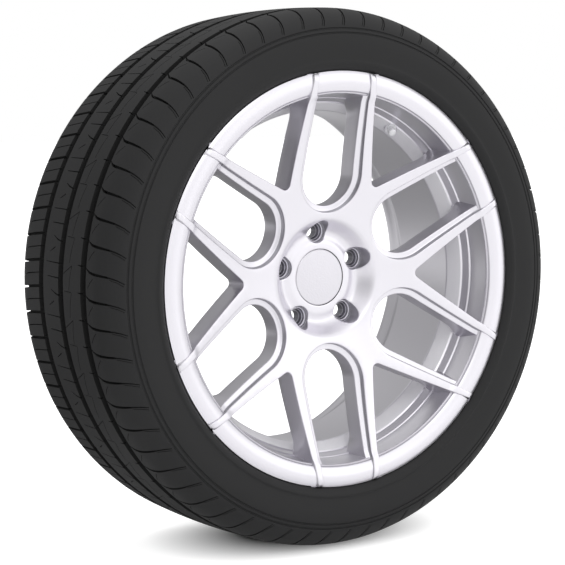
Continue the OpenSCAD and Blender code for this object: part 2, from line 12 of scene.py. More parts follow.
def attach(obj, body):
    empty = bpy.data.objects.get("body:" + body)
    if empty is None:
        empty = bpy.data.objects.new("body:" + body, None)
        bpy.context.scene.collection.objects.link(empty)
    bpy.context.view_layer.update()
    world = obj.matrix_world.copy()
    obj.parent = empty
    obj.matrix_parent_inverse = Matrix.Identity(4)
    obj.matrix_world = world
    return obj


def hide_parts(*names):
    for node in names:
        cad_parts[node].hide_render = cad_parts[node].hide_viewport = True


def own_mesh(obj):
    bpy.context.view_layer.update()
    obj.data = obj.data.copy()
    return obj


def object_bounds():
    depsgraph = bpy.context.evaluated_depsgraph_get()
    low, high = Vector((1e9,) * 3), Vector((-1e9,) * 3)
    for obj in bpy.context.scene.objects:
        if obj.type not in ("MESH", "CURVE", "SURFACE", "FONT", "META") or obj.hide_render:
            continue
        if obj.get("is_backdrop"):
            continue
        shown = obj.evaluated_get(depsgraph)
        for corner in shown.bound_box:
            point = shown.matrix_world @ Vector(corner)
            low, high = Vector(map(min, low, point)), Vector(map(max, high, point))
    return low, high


bl_info = {
    "name": "Car Wheel and Tyre",
    "version": (1, 0, 0),
    "blender": (4, 5, 0),
    "location": "3D Viewport > Sidebar > Wheel",
    "description": "Builds a cast alloy wheel with its tyre, cap and valve round a packed model",
    "category": "Object",
}

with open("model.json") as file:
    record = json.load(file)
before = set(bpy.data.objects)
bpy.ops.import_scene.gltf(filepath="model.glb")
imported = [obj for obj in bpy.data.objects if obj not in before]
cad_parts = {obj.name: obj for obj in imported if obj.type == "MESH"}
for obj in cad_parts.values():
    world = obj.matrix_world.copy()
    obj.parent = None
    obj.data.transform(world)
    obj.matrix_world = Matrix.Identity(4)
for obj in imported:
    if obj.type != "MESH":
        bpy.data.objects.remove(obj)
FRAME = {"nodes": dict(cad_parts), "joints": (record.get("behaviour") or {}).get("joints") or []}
MM = 0.001
TURN = 2 * math.pi
ARMS = 12
BOLTS = 5
# angles in degrees from which an edge is shaded sharp
CAST_EDGE, RUBBER_EDGE = 42, 35
# places of the wheel's finishes among its materials; all but the paint and the turned band are
# darker paint as painted shade
PAINT, BOLT_SHADE, TURNED, STEP_SHADE, WALL_SHADE, SEAM_SHADE = range(6)


def linear(value):
    """One sRGB channel, 0 to 1, as linear light."""
    return value / 12.92 if value <= 0.04045 else ((value + 0.055) / 1.055) ** 2.4


def colour(text):
    """A hex colour such as #2f2f30 as linear RGBA."""
    text = text.lstrip("#")
    return tuple(linear(int(text[i:i + 2], 16) / 255) for i in (0, 2, 4)) + (1.0,)


def node(tree, kind, place=(0, 0), sockets=None, **values):
    """Adds a node, sets its properties or sockets by name, and links or sets the sockets given."""
    new = tree.nodes.new(kind)
    new.location = place
    for key, value in values.items():
        if hasattr(new, key):
            setattr(new, key, value)
        else:
            new.inputs[key.replace("_", " ")].default_value = value
    for name, source in (sockets or {}).items():
        if isinstance(source, bpy.types.NodeSocket):
            tree.links.new(source, new.inputs[name])
        else:
            new.inputs[name].default_value = source
    return new


def new_material(name):
    """An empty node material and its tree."""
    material = bpy.data.materials.new(name)
    material.use_nodes = True
    material.node_tree.nodes.clear()
    return material, material.node_tree


def finish_material(tree, sockets=None, **values):
    """Ends a material with its surface shader, whose settings are given, and the output."""
    shader = node(tree, "ShaderNodeBsdfPrincipled", (300, 0), sockets, **values)
    node(tree, "ShaderNodeOutputMaterial", (600, 0), {"Surface": shader.outputs["BSDF"]})


def mesh_object(name, points, faces, material=None):
    """A mesh object from points in metres."""
    mesh = bpy.data.meshes.new(name)
    mesh.from_pydata([tuple(p) for p in points], [], [tuple(f) for f in faces])
    mesh.validate()
    if material:
        mesh.materials.append(material)
    obj = bpy.data.objects.new(name, mesh)
    bpy.context.scene.collection.objects.link(obj)
    return obj


def shade(mesh, angle):
    """Shades a mesh smooth, but for the edges from an angle in degrees."""
    mesh.polygons.foreach_set("use_smooth", [True] * len(mesh.polygons))
    mesh.set_sharp_from_angle(angle=math.radians(angle))


def rubber_material(props):
    """Matt black tyre rubber with a fine mould grain and a faint grey bloom."""
    material, tree = new_material("tyre rubber, matt")
    where = node(tree, "ShaderNodeTexCoord", (-1000, 0)).outputs["Object"]
    bloom = node(tree, "ShaderNodeTexNoise", (-800, 200), {"Vector": where}, Scale=9.0, Detail=3.0)
    mix = node(tree, "ShaderNodeMixRGB", (-500, 200), {"Fac": bloom.outputs["Fac"]},
               Color1=colour(props.rubber_dark), Color2=colour(props.rubber_light))
    grain = node(tree, "ShaderNodeTexNoise", (-800, -200), {"Vector": where},
                 Scale=900.0, Detail=2.0)
    bump = node(tree, "ShaderNodeBump", (-500, -200), {"Height": grain.outputs["Fac"]},
                Strength=0.12, Distance=0.0004)
    finish_material(tree, {"Base Color": mix.outputs["Color"], "Normal": bump.outputs["Normal"]},
                    Roughness=0.62, Specular_IOR_Level=0.35)
    return material


def alloy_material(name, tone, metal, roughness=0.34, grain=700.0, strength=0.05):
    """Silver wheel paint: a satin metallic coat with a very fine flake."""
    material, tree = new_material(name)
    where = node(tree, "ShaderNodeTexCoord", (-1000, 0)).outputs["Object"]
    flake = node(tree, "ShaderNodeTexNoise", (-800, 0), {"Vector": where}, Scale=grain, Detail=1.0)
    bump = node(tree, "ShaderNodeBump", (-500, -200), {"Height": flake.outputs["Fac"]},
                Strength=strength, Distance=0.0002)
    finish_material(tree, {"Normal": bump.outputs["Normal"]}, Metallic=metal,
                    Roughness=roughness, Base_Color=colour(tone))
    return material


def plain_material(name, tone, metallic, roughness):
    """One even finish."""
    material, tree = new_material(name)
    finish_material(tree, Metallic=metallic, Roughness=roughness, Base_Color=colour(tone))
    return material


class TyreSection:
    """The tyre's outside as a curve from the crown down to the bead, both sides alike."""
    CROWN_BOW = 3.8  # the crown's radius as a share of the tyre's
    CROWN_END = 38.4  # from the side wall in to where the shoulder's arc begins
    SHOULDER_TURN = 60  # degrees at which that arc ends
    # radius, and distance in from the widest place
    SIDE_WALL = ((297.0, 2.3), (290.0, 0.55), (281.5, 0.0), (271.5, 0.7), (262.0, 1.9))

    def __init__(self, p):
        bow = p.radius * self.CROWN_BOW
        flat = p.half_width - self.CROWN_END
        start = math.asin(flat / bow)
        centre = (p.radius - flat * flat / (2 * bow) - p.shoulder * math.cos(start),
                  flat - p.shoulder * math.sin(start))
        pts = [(p.radius - u * u / (2 * bow), u) for u in np.linspace(0, flat, 42)]
        pts += [(centre[0] + p.shoulder * math.cos(a), centre[1] + p.shoulder * math.sin(a))
                for a in np.linspace(start, math.radians(self.SHOULDER_TURN), 40)[1:]]
        wall = [pts[-1]] + [(r, p.half_width - inward) for r, inward in self.SIDE_WALL]
        pts += self.spline(pts[-2], wall, 6)[1:]
        self.points = np.array(pts)
        step = np.hypot(*np.diff(self.points, axis=0).T)
        self.length = np.concatenate([[0], np.cumsum(step)])

    @staticmethod
    def spline(before, pts, n):
        """Points on a Catmull-Rom curve through pts."""
        ext = [before] + list(pts) + [tuple(2 * np.array(pts[-1]) - np.array(pts[-2]))]
        out = [pts[0]]
        for i in range(1, len(ext) - 2):
            a, b, c, d = (np.array(q) for q in ext[i - 1:i + 3])
            for t in np.linspace(0, 1, n + 1)[1:]:
                out.append(tuple(0.5 * (2 * b + (c - a) * t + (2 * a - 5 * b + 4 * c - d) * t * t
                                        + (3 * b - a - 3 * c + d) * t ** 3)))
        return out

    def at(self, w, sink=0.0):
        """(radius, place across) at arc length w from the centre, sunk below the surface."""
        side = np.sign(w) + (w == 0)
        w = np.abs(w)
        near = 0.5
        radius, across = self.points.T
        r, u = (np.interp(w, self.length, line) for line in (radius, across))
        dr = np.interp(w + near, self.length, radius) - np.interp(w - near, self.length, radius)
        du = np.interp(w + near, self.length, across) \
            - np.interp(np.maximum(w - near, 0), self.length, across)
        size = np.hypot(dr, du) + 1e-9
        return r - du / size * sink, side * (u + dr / size * sink)


# Cuts of the tread: depth, then (place across, place along, width) at points of the line.
# Those of the first table come once in each pitch, those of the second once in two.
PITCH_SLOTS = (
    # outer shoulder: the S groove, its thin end, the fork beside it and a slanting sipe
    (5.5, (-68, 0.6, 1.0), (-72, 3.6, 1.9), (-77, 6.4, 3.0), (-84, 7.8, 3.4), (-95, 9.0, 3.0),
     (-105, 10.2, 2.4)),
    (2.2, (-103, 9.9, 2.4), (-111, 11.4, 1.8), (-118, 13.6, 1.3), (-125.5, 17.4, 0.9)),
    (1.0, (-108, 13.0, 0.7), (-117, 15.8, 0.8), (-124.5, 20.0, 0.7)),
    (2.0, (-73, 24.5, 0.7), (-78, 18.0, 0.9), (-84, 12.8, 0.7)),
    # second rib: the long zigzag line and a notch at the outer groove
    (2.0, (-37, 1.0, 0.7), (-33, 15.0, 0.9), (-31, 29.5, 0.7)),
    (3.5, (-59, 0.4, 1.7), (-51, -0.6, 0.9)),
    # inner shoulder: a wide groove and an L-shaped sipe
    (5.0, (44, -2.0, 3.4), (70, 0.0, 3.6), (100, 3.0, 3.0), (121, 5.0, 2.0)),
    (3.0, (44, 13.0, 1.1), (72, 15.5, 1.3), (84, 17.0, 1.0)),
    (2.0, (84, 16.6, 1.0), (86, 25.0, 0.8)))
PAIR_SLOTS = (
    # first rib: two straight sipes and two slanting notches
    (2.5, (-8, 0.0, 1.3), (27, -1.2, 0.7)),
    (2.5, (-8, 17.0, 1.5), (22, 15.6, 0.8)),
    (3.0, (-8, 37.5, 1.8), (4, 34.6, 1.5), (13, 30.8, 0.8)),
    (2.0, (7, 44.0, 1.5), (19, 49.5, 0.8)),
    # second rib: one slanting sipe and one straight one
    (2.0, (-37, 1.0, 0.9), (-17, 11.0, 0.8)),
    (2.0, (-36, 31.6, 0.8), (-20, 30.4, 0.6)))


def band(line, along=0.0):
    """The outline of a slot that follows a line of (across, along, width) points."""
    pts = np.array([(w, s + along) for w, s, _width in line], float)
    d = np.gradient(pts, axis=0)
    n = np.c_[-d[:, 1], d[:, 0]] / np.hypot(*d.T)[:, None]
    half = np.array([width for _w, _s, width in line], float)[:, None] / 2
    return np.vstack([pts + n * half, (pts - n * half)[::-1]])


def tread_slots(p, pitch):
    """Every slot of two tread pitches as (outline, depth)."""
    slots = [(band(line, k * pitch), depth) for k in (0, 1) for depth, *line in PITCH_SLOTS]
    slots += [(band(line), depth) for depth, *line in PAIR_SLOTS]
    edge = p.groove_width / 2
    start, end = -99, 199  # the main grooves run on past the slice on either side
    for centre in (p.groove_out, p.groove_mid, p.groove_in):
        left, right = centre - edge, centre + edge
        slots.append((np.array([(left, start), (right, start), (right, end), (left, end)]),
                      p.groove_depth))
    return slots


def inside(points, outline):
    """Which points lie inside an outline."""
    x, y = points.T
    hit = np.zeros(len(points), bool)
    j = len(outline) - 1
    for i in range(len(outline)):
        xi, yi = outline[i]
        xj, yj = outline[j]
        if yi != yj:
            hit ^= ((yi > y) != (yj > y)) & (x < (xj - xi) * (y - yi) / (yj - yi) + xi)
        j = i
    return hit


# Sections of the tyre below its tread. The first two are (radius, distance in from the widest
# place or from the rim's edge), and the third is (radius, place from the centre plane).
WALL_FOOT = ((260.6, 1.7), (259.6, 0.95), (258.3, 0.8), (255.6, 1.9), (253.2, 3.6), (251.2, 5.4),
             (249.6, 7.2), (248.95, 8.6))
BEAD = ((248.75, 3.4), (247.4, 6.7), (244.1, 9.6), (239.9, 11.5), (235.6, 12.05), (232.2, 12.9),
        (231.2, 14.6), (229.4, 34.0))
LINER = ((228.6, 79.6), (235.0, 81.5), (240.5, 91.5), (251.3, 100.0), (267.5, 109.6),
         (281.5, 111.0), (293.5, 108.5), (301.6, 100.0), (306.0, 82.0), (309.0, 49.0))
LINER_TOP = (309.6, 0.0)
WALL_LINES = (297.9, 292.6)
LINE_SECTION = ((1.3, 0.0), (0.45, 1.1), (-0.45, 1.1), (-1.3, 0.0))


def wall_ring(p, section, reach):
    """Rows from the tread's one side over bead and liner to the other: (radius, place)."""
    wall = [tuple(float(v) for v in section.at(w))
            for w in np.linspace(reach, section.length[-1], 16)]
    radius, across = np.array(wall).T
    clear = LINE_SECTION[0][0] - 0.01
    rows = [row for row in wall[1:] if all(abs(row[0] - c) >= clear for c in WALL_LINES)]
    rows += [(c + dr, np.interp(-c - dr, -radius, across) - sink)
             for c in WALL_LINES for dr, sink in LINE_SECTION]
    half = wall[:1] + sorted(rows, reverse=True)
    half += [(r, p.half_width - inward) for r, inward in WALL_FOOT]
    half += [(r, p.edge_place - inward) for r, inward in BEAD]
    half += LINER
    return half + [LINER_TOP] + [(r, -u) for r, u in half[::-1]]


def tread_flat(p, pitch, reach, columns):
    """Two tread pitches laid flat and cut along their slots: points, triangles and depths."""
    length = 2 * pitch
    run_out = 40  # how far a main groove's outline goes on past the slice
    tiny = 0.01
    across = np.concatenate([[-reach], np.arange(-124, -83, 5.0), np.arange(-80, 81, 10.0),
                             np.arange(84, 125, 5.0), [reach]])
    lines = [((w, 0.0), (w, length)) for w in across]
    lines += [((-reach, length * k / columns), (reach, length * k / columns))
              for k in range(columns + 1)]
    verts = [end for line in lines for end in line]
    edges = [(2 * i, 2 * i + 1) for i in range(len(lines))]
    slots = []
    for outline, depth in tread_slots(p, pitch):
        for shift in (-length, 0, length):
            moved = outline + [0, shift]
            if moved[:, 1].max() > tiny and moved[:, 1].min() < length - tiny:
                slots.append((moved, depth))
    for outline, _depth in slots:
        pts = outline.copy()
        pts[:, 1] = np.clip(pts[:, 1], -run_out, length + run_out)
        n = len(verts)
        verts.extend(map(tuple, pts))
        edges.extend((n + i, n + (i + 1) % len(pts)) for i in range(len(pts)))
    flat, _edges, faces = delaunay_2d_cdt([Vector(v) for v in verts], edges, [], 0, 1e-4)[:3]
    flat = np.array([tuple(v) for v in flat])
    faces = np.array([f for f in faces if len(f) == 3])
    mid = flat[faces].mean(1)
    keep = (mid[:, 1] > 0) & (mid[:, 1] < length) & (np.abs(mid[:, 0]) < reach)
    faces, mid = faces[keep], mid[keep]
    depths = np.zeros(len(faces))
    for outline, depth in slots:
        depths = np.where(inside(mid, outline), np.maximum(depths, depth), depths)
    return flat, faces, depths


def tyre_segment(p):
    """Two tread pitches and the walls under them, as one slice of the whole section."""
    section = TyreSection(p)
    pitch = TURN * p.radius / p.pitches
    turn = 2 * TURN / p.pitches
    reach = 127.0  # from the crown's middle, along the surface, to where the walls begin
    columns = 8
    flat, faces, depths = tread_flat(p, pitch, reach, columns)
    points, index, out, sunk = [], {}, [], []

    def point(i, depth):
        """The number of a flat point at a depth, which is added when it is new."""
        if (i, depth) not in index:
            index[(i, depth)] = len(points)
            points.append((flat[i][0], flat[i][1], depth))
        return index[(i, depth)]
    borders, levels = {}, {}
    for tri, depth in zip(faces, depths):
        out.append([point(i, depth) for i in tri])
        sunk.append(bool(depth > 0))
        for i in tri:
            levels.setdefault(i, set()).add(depth)
        for a, b in ((0, 1), (1, 2), (2, 0)):
            borders.setdefault(frozenset((tri[a], tri[b])), []).append((tri[a], tri[b], depth))
    # upright walls wherever two neighbours lie at different depths
    for sides in borders.values():
        if len(sides) == 2 and sides[0][2] != sides[1][2]:
            (a, b, high), (_a, _b, low) = sorted(sides, key=lambda side: side[2])
            down = [d for d in sorted(levels[a]) if high <= d <= low]
            up = [d for d in sorted(levels[b], reverse=True) if high <= d <= low]
            out.append([point(a, d) for d in down] + [point(b, d) for d in up])
            sunk.append(True)
    pts = np.array(points)
    r, u = section.at(pts[:, 0], pts[:, 2])
    angle = pts[:, 1] / (2 * pitch) * turn
    verts = [tuple(v) for v in np.c_[r * np.cos(angle), u + p.middle, r * np.sin(angle)]]

    base = len(verts)
    ring = wall_ring(p, section, reach)
    angles = [k * (turn / columns) for k in range(columns + 1)]
    verts += [(r * math.cos(a), u + p.middle, r * math.sin(a)) for r, u in ring for a in angles]
    for i in range(len(ring) - 1):
        for k in range(columns):
            a = base + i * len(angles) + k
            out.append([a, a + len(angles), a + len(angles) + 1, a + 1])
    sunk.extend([False] * (len(out) - len(sunk)))
    return np.array(verts) * MM, out, sunk


def round_tree(material, sunk_material):
    """Geometry Nodes: copies of the modifier's own mesh turned round the axle, then joined."""
    tree = bpy.data.node_groups.new("repeat round the axle", "GeometryNodeTree")
    face = tree.interface
    face.new_socket("Geometry", in_out="INPUT", socket_type="NodeSocketGeometry")
    count = face.new_socket("Count", in_out="INPUT", socket_type="NodeSocketInt")
    weld = face.new_socket("Weld", in_out="INPUT", socket_type="NodeSocketFloat")
    face.new_socket("Geometry", in_out="OUTPUT", socket_type="NodeSocketGeometry")
    given = node(tree, "NodeGroupInput", (-900, 0))
    points = node(tree, "GeometryNodeMeshLine", (-700, 200),
                  {"Count": given.outputs["Count"], "Offset": (0, 0, 0)})
    index = node(tree, "GeometryNodeInputIndex", (-900, -250))
    share = node(tree, "ShaderNodeMath", (-700, -250),
                 {0: index.outputs[0], 1: given.outputs["Count"]}, operation="DIVIDE")
    turn = node(tree, "ShaderNodeMath", (-500, -250), {0: share.outputs[0], 1: -TURN},
                operation="MULTIPLY")
    spin = node(tree, "ShaderNodeCombineXYZ", (-300, -250), {"Y": turn.outputs[0]})
    copies = node(tree, "GeometryNodeInstanceOnPoints", (-100, 100),
                  {"Points": points.outputs[0], "Instance": given.outputs["Geometry"],
                   "Rotation": spin.outputs[0]})
    real = node(tree, "GeometryNodeRealizeInstances", (100, 100), {"Geometry": copies.outputs[0]})
    joined = node(tree, "GeometryNodeMergeByDistance", (300, 100),
                  {"Geometry": real.outputs[0], "Distance": given.outputs["Weld"]})
    paint = node(tree, "GeometryNodeSetMaterial", (500, 100), {"Geometry": joined.outputs[0]},
                 Material=material)
    # faces in the grooves take the darker rubber: painted shade where shade falls in them
    sunk = node(tree, "GeometryNodeInputNamedAttribute", (500, -150), Name="sunk",
                data_type="BOOLEAN")
    deep = node(tree, "GeometryNodeSetMaterial", (700, 100),
                {"Geometry": paint.outputs[0], "Selection": sunk.outputs[0]},
                Material=sunk_material)
    node(tree, "NodeGroupOutput", (900, 100), {"Geometry": deep.outputs[0]})
    return tree, count.identifier, weld.identifier


def baked(obj, tree, values):
    """The mesh that a Geometry Nodes tree makes of an object, as a plain mesh."""
    modifier = obj.modifiers.new("nodes", "NODES")
    modifier.node_group = tree
    for key, value in values.items():
        modifier[key] = value
    obj.update_tag()
    graph = bpy.context.evaluated_depsgraph_get()
    mesh = bpy.data.meshes.new_from_object(obj.evaluated_get(graph))
    obj.modifiers.remove(modifier)
    obj.data = mesh
    return mesh


def smooth(t):
    """An even step from 0 to 1 as t goes from 0 to 1."""
    t = np.clip(t, 0.0, 1.0)
    return t * t * (3 - 2 * t)


def circle(count, first=0.0):
    """Points of a unit circle; first is the share of a step that the first one stands on."""
    a = (np.arange(count) + first) * TURN / count
    return np.c_[np.cos(a), np.sin(a)]


class WheelForm:
    """Faces and sections of the cast wheel, in millimetres."""
    # past the boss round the cap: distance from its radius, and depth below its flat
    BOSS_EDGE = ((-2.5, 0.0), (-0.5, 0.3), (1, 0.95), (3, 1.75), (5, 2.2))
    COVE_START, COVE_DEPTH = 8.0, 2.4
    # past the arms' ends: radius, and depth below the lip's edge
    OVER_LIP = ((222, -0.1), (226, -1.0), (230, -2.0), (235, -3.1), (239.5, -3.9),
                (243.5, -3.7), (246, -2.6), (247.6, -1.0), (248.2, 0.3))
    HUB_BACK = ((0, 0), (73.5, 0), (75, -0.5), (77, -3), (81, -7.2), (87, -9.4))
    ARM_ENDS_BACK = ((223, 24), (230, 11), (240, 5.5), (249, 3))

    def __init__(self, p):
        self.p = p
        cove_r, cove_y = p.boss + self.COVE_START, p.hub_y + self.COVE_DEPTH
        face = [(0, p.hub_y)] + [(p.boss + r, p.hub_y + y) for r, y in self.BOSS_EDGE]
        face += [(cove_r + (p.root - 2 - cove_r) * t,
                  cove_y + (p.root_y - cove_y) * (1 - math.cos(math.pi * t)) / 2)
                 for t in np.linspace(0, 0.95, 9)]
        face += [(r, self.face_line(r)) for r in (77, 83, 90, 100, 112, 125, 140, 160, 180, 200,
                                                  215)]
        face += [(r, p.front + y) for r, y in self.OVER_LIP]
        self.face = self.rounded(np.array(face))
        back = list(self.HUB_BACK)
        back += [(r, self.face_line(r) + p.spoke_depth) for r in (96, 110, 126, 150, 180, 205,
                                                                  221)]
        back += [(r, p.front + y) for r, y in self.ARM_ENDS_BACK]
        self.back = np.array(back)

    def face_line(self, r):
        """Depth of the arms' face, which bows a little from root to tip."""
        p = self.p
        t = (r - p.root) / (p.lip_inside - p.root)
        return p.root_y + (p.tip_y - p.root_y) * ((1 - p.bow) * t + p.bow * t * t)

    @staticmethod
    def rounded(pts, count=1800, window=31):
        """The same curve through more points, without corners."""
        r = np.linspace(pts[0][0], pts[-1][0], count)
        kernel = np.hanning(window)
        kernel /= kernel.sum()
        wide = np.pad(np.interp(r, *pts.T), window // 2, mode="edge")
        return np.c_[r, np.convolve(wide, kernel, mode="valid")]

    def front_y(self, r):
        """Depth of the wheel's face at a radius."""
        return np.interp(r, *self.face.T)

    def back_y(self, r):
        """Depth of the spokes' back at a radius."""
        return np.interp(r, *self.back.T)

    def drop(self, r):
        """Depth of the step round the U windows: it shrinks outwards, and grows over the lip."""
        start, run, first, loss = 75, 175, 1.15, 0.45
        over_lip, lip_run = 5.0, 12
        more = over_lip * smooth((r - self.p.lip_inside) / lip_run)
        return self.p.ledge_drop * (first - loss * (r - start) / run) + more


def side_run(start, direction, outside):
    """Points from a start point out to the rim circle, closer together near the rim."""
    b = start @ direction
    far = -b + math.sqrt(b * b - start @ start + outside * outside)
    rim_run, coarse, fine = 56, 16, 24
    near_rim = far - rim_run
    t = np.concatenate([np.linspace(0, near_rim, coarse)[:-1], np.linspace(near_rim, far, fine)])
    return start + t[:, None] * direction


def window_outline(kind, p):
    """Points, inward normals and shares (0 at the round end, 1 at the rim) of one window."""
    if kind == "U":
        centre, radius, lean, steps = np.array([p.u_centre, 0]), p.u_radius, -p.u_taper, 48
    else:
        radius, lean, steps = p.v_radius, p.v_half, 14
        centre = np.array([p.v_corner + radius / math.sin(lean), 0])
    turn = np.linspace(math.pi / 2 + lean, 3 * math.pi / 2 - lean, steps + 1)
    ray = np.c_[np.cos(turn), np.sin(turn)]
    arc = centre + radius * ray
    up = side_run(arc[0], np.array([math.cos(lean), math.sin(lean)]), p.outside)
    n_up = np.tile([math.sin(lean), -math.cos(lean)], (len(up), 1))
    flip = np.array([1, -1])
    share = np.linalg.norm(up - up[0], axis=1) / np.linalg.norm(up[-1] - up[0])
    pts = np.vstack([up[::-1], arc[1:-1], up * flip])
    normals = np.vstack([n_up[::-1], -ray[1:-1], n_up * flip])
    shares = np.concatenate([share[::-1], np.zeros(steps - 1), share])
    return pts[::-1], normals[::-1], shares[::-1]


class Shell:
    """Collects points and faces, in millimetres, of one closed skin."""

    def __init__(self):
        self.points, self.faces, self.tones = [], [], {}

    def add(self, points):
        """Adds points, and gives the number of the first."""
        start = len(self.points)
        self.points.extend(tuple(q) for q in points)
        return start

    def lid(self, points):
        """One flat face over a loop of points."""
        start = self.add(points)
        self.faces.append(tuple(range(start, start + len(points))))

    def strip(self, grid, closed=False, tones=()):
        """Quads over a grid of points [station][place]; tones gives some places a material."""
        n, m = len(grid), len(grid[0])
        start = self.add(np.array(grid).reshape(-1, 3))
        for i in range(n if closed else n - 1):
            k = (i + 1) % n
            for j in range(m - 1):
                if j in tones:
                    self.tones[len(self.faces)] = tones[j]
                self.faces.append((start + i * m + j, start + k * m + j,
                                   start + k * m + j + 1, start + i * m + j + 1))

    def surface(self, outer, holes, spots, height):
        """Triangles over a flat region, raised by a function of its points' radius."""
        verts, edges = [], []
        for loop in [outer] + holes:
            n = len(verts)
            verts.extend(loop)
            edges.extend((n + i, n + (i + 1) % len(loop)) for i in range(len(loop)))
        near = np.array(verts)
        clear = inside(spots, outer)
        for hole in holes:
            clear &= ~inside(spots, hole)
        batch, margin = 400, 1.2
        for i in range(0, len(spots), batch):
            gap = np.hypot(*(spots[i:i + batch, None] - near[None]).transpose(2, 0, 1)).min(1)
            clear[i:i + batch] &= gap > margin
        verts.extend(spots[clear])
        flat, _edges, faces = delaunay_2d_cdt([Vector(v) for v in verts], edges, [], 0, 1e-5)[:3]
        flat = np.array([tuple(v) for v in flat])
        faces = np.array([f for f in faces])
        mid = flat[faces].mean(1)
        keep = inside(mid, outer)
        for hole in holes:
            keep &= ~inside(mid, hole)
        start = self.add(np.c_[flat[:, 0], height(np.hypot(*flat.T)), flat[:, 1]])
        self.faces.extend(tuple(start + f) for f in faces[keep])

    def mesh(self, name, materials):
        """The skin as an object: points that meet are one, and its faces point outwards."""
        obj = mesh_object(name, np.array(self.points) * MM, self.faces)
        used = sorted({PAINT} | set(self.tones.values()))
        for index in used:
            obj.data.materials.append(materials[index])
        for face, index in self.tones.items():
            obj.data.polygons[face].material_index = used.index(index)
        form = bmesh.new()
        form.from_mesh(obj.data)
        bmesh.ops.remove_doubles(form, verts=form.verts, dist=4e-6)
        loose = [v for v in form.verts if not v.link_faces]
        bmesh.ops.delete(form, geom=loose, context="VERTS")
        bmesh.ops.recalc_face_normals(form, faces=form.faces)
        if form.calc_volume(signed=True) < 0:
            bmesh.ops.reverse_faces(form, faces=form.faces)
        form.to_mesh(obj.data)
        form.free()
        shade(obj.data, CAST_EDGE)
        return obj


def turned(points, angle):
    """Flat points turned round the axle."""
    c, s = math.cos(angle), math.sin(angle)
    return points @ np.array([[c, s], [-s, c]])


def ring_grid(centre, profile, steps):
    """A grid round an axis parallel to the axle: profile points are (radius, depth)."""
    grid = []
    for k in range(steps):
        a = TURN * k / steps
        row = []
        for radius, depth in profile:
            x, z = centre[0] + radius * math.cos(a), centre[1] + radius * math.sin(a)
            y = depth(math.hypot(x, z)) if callable(depth) else depth
            row.append((x, y, z))
        grid.append(row)
    return grid


# A window's skin, as distances into the window and depths. The face's edge is given from the
# face, the step's from its depth at either end, and the wall's last rows from the back, with
# their share of the flare at the barrel.
FACE_EDGE = ((-1.3, 0.0), (-0.75, 0.1), (-0.3, 0.42), (0.0, 1.1))
STEP_START = ((0.55, -1.3), (1.2, -0.45), (2.2, 0.0))
STEP_END = ((-1.5, 0.25), (-0.6, 0.45), (-0.15, 0.9), (0.0, 1.7))
U_WALL, V_WALL = (0.1, 0.3, 0.4, 0.1, -0.9), (0.15, 0.45, 0.7, 0.4, -0.6)
WALL_SHARES = (0.3, 0.65)
BACK_EDGE = ((-1.6, 0.95), (-0.4, 1.0), (0.0, 1.0))
# finishes of some rows of that skin: darker paint as painted shade on the step and on the walls
U_TONES = dict.fromkeys((3, 4, 5), STEP_SHADE) | dict.fromkeys((11, 12, 13), WALL_SHADE)
V_TONES = dict.fromkeys((3, 4, 5), WALL_SHADE)


def window_wall(kind, p, form):
    """One window's skin from face to back: rows of (point, depth), one to an outline's point."""
    grid = []
    for base, inward, share in zip(*window_outline(kind, p)):
        radius = math.hypot(*base)
        foot = p.foot * smooth((radius - p.foot_start) / p.foot_run) ** 1.5
        row = []

        def put(d, depth, dy):
            """One more point of the row, at a distance into the window."""
            q = base + inward * d
            row.append((q, depth(math.hypot(*q)) + dy))
        for d, dy in FACE_EDGE:
            put(d, form.front_y, dy)
        wide = 0.0
        if kind == "U":
            drop = form.drop(radius)
            wide = p.ledge + (p.ledge_tip - p.ledge) * share
            put(0.25, form.front_y, drop * 0.62)
            for d, dy in STEP_START:
                put(d, form.front_y, drop + dy)
            for d, dy in STEP_END:
                put(wide + d, form.front_y, drop + dy)
        wall = [wide + d for d in (U_WALL if kind == "U" else V_WALL)]
        top = row[-1][1]
        for part, d in zip(WALL_SHARES, wall):
            q = base + inward * (d + foot * part)
            row.append((q, top + (form.back_y(math.hypot(*q)) - top) * part))
        for d, (dy, part) in zip(wall[2:], BACK_EDGE):
            put(d + foot * part, form.back_y, dy)
        grid.append(row)
    return grid


# A bolt hole from the face to the back, as (distance from the pocket's radius, depth below the
# face), then the pocket's floor, and then the steps of the cone as (radius, depth).
POCKET_EDGE = ((0.9, 0.0), (0.4, 0.15), (0.1, 0.5), (0.0, 1.1))
POCKET_FLOOR = ((-0.1, -18.0), (-0.35, -17.3), (-1.0, -17.0))
BOLT_CONE = ((12.4, -17.0), (11.9, -17.1), (11.5, -16.7), (11.3, -16.1), (10.3, -14.2),
             (9.9, -14.3), (9.5, -13.6), (8.2, -10.7), (7.9, -10.8), (7.6, -10.2), (7.5, -9.4))
# rows of the bolt holes in darker paint: painted shade in the pockets
BOLT_TONES = dict.fromkeys((4, 5, 6, 10, 13, 17), BOLT_SHADE)
# The bore: the seam round the cap from the cap's radius, then (radius, depth) to the back.
SEAM_EDGE = ((0.9, -23.5), (0.65, -23.3), (0.5, -22.8), (0.4, -20.45))
HUB_BORE = ((31.6, -20.45), (31.6, -15.45), (34.5, -14.45), (34.5, -11.6), (33.3, -10.6),
            (33.3, -1.2))
# the seam's rows in darker paint: painted shade in the gap round the cap
SEAM_TONES = dict.fromkeys((1, 2), SEAM_SHADE)
# The edge of a cast pocket in the hub's back: distance into the pocket's wall, and depth.
BACK_POCKET_EDGE = ((0.7, 0.0), (0.2, -0.25), (0.0, -0.9), (-0.5, -7.6), (-1.0, -8.6),
                    (-2.0, -9.0))


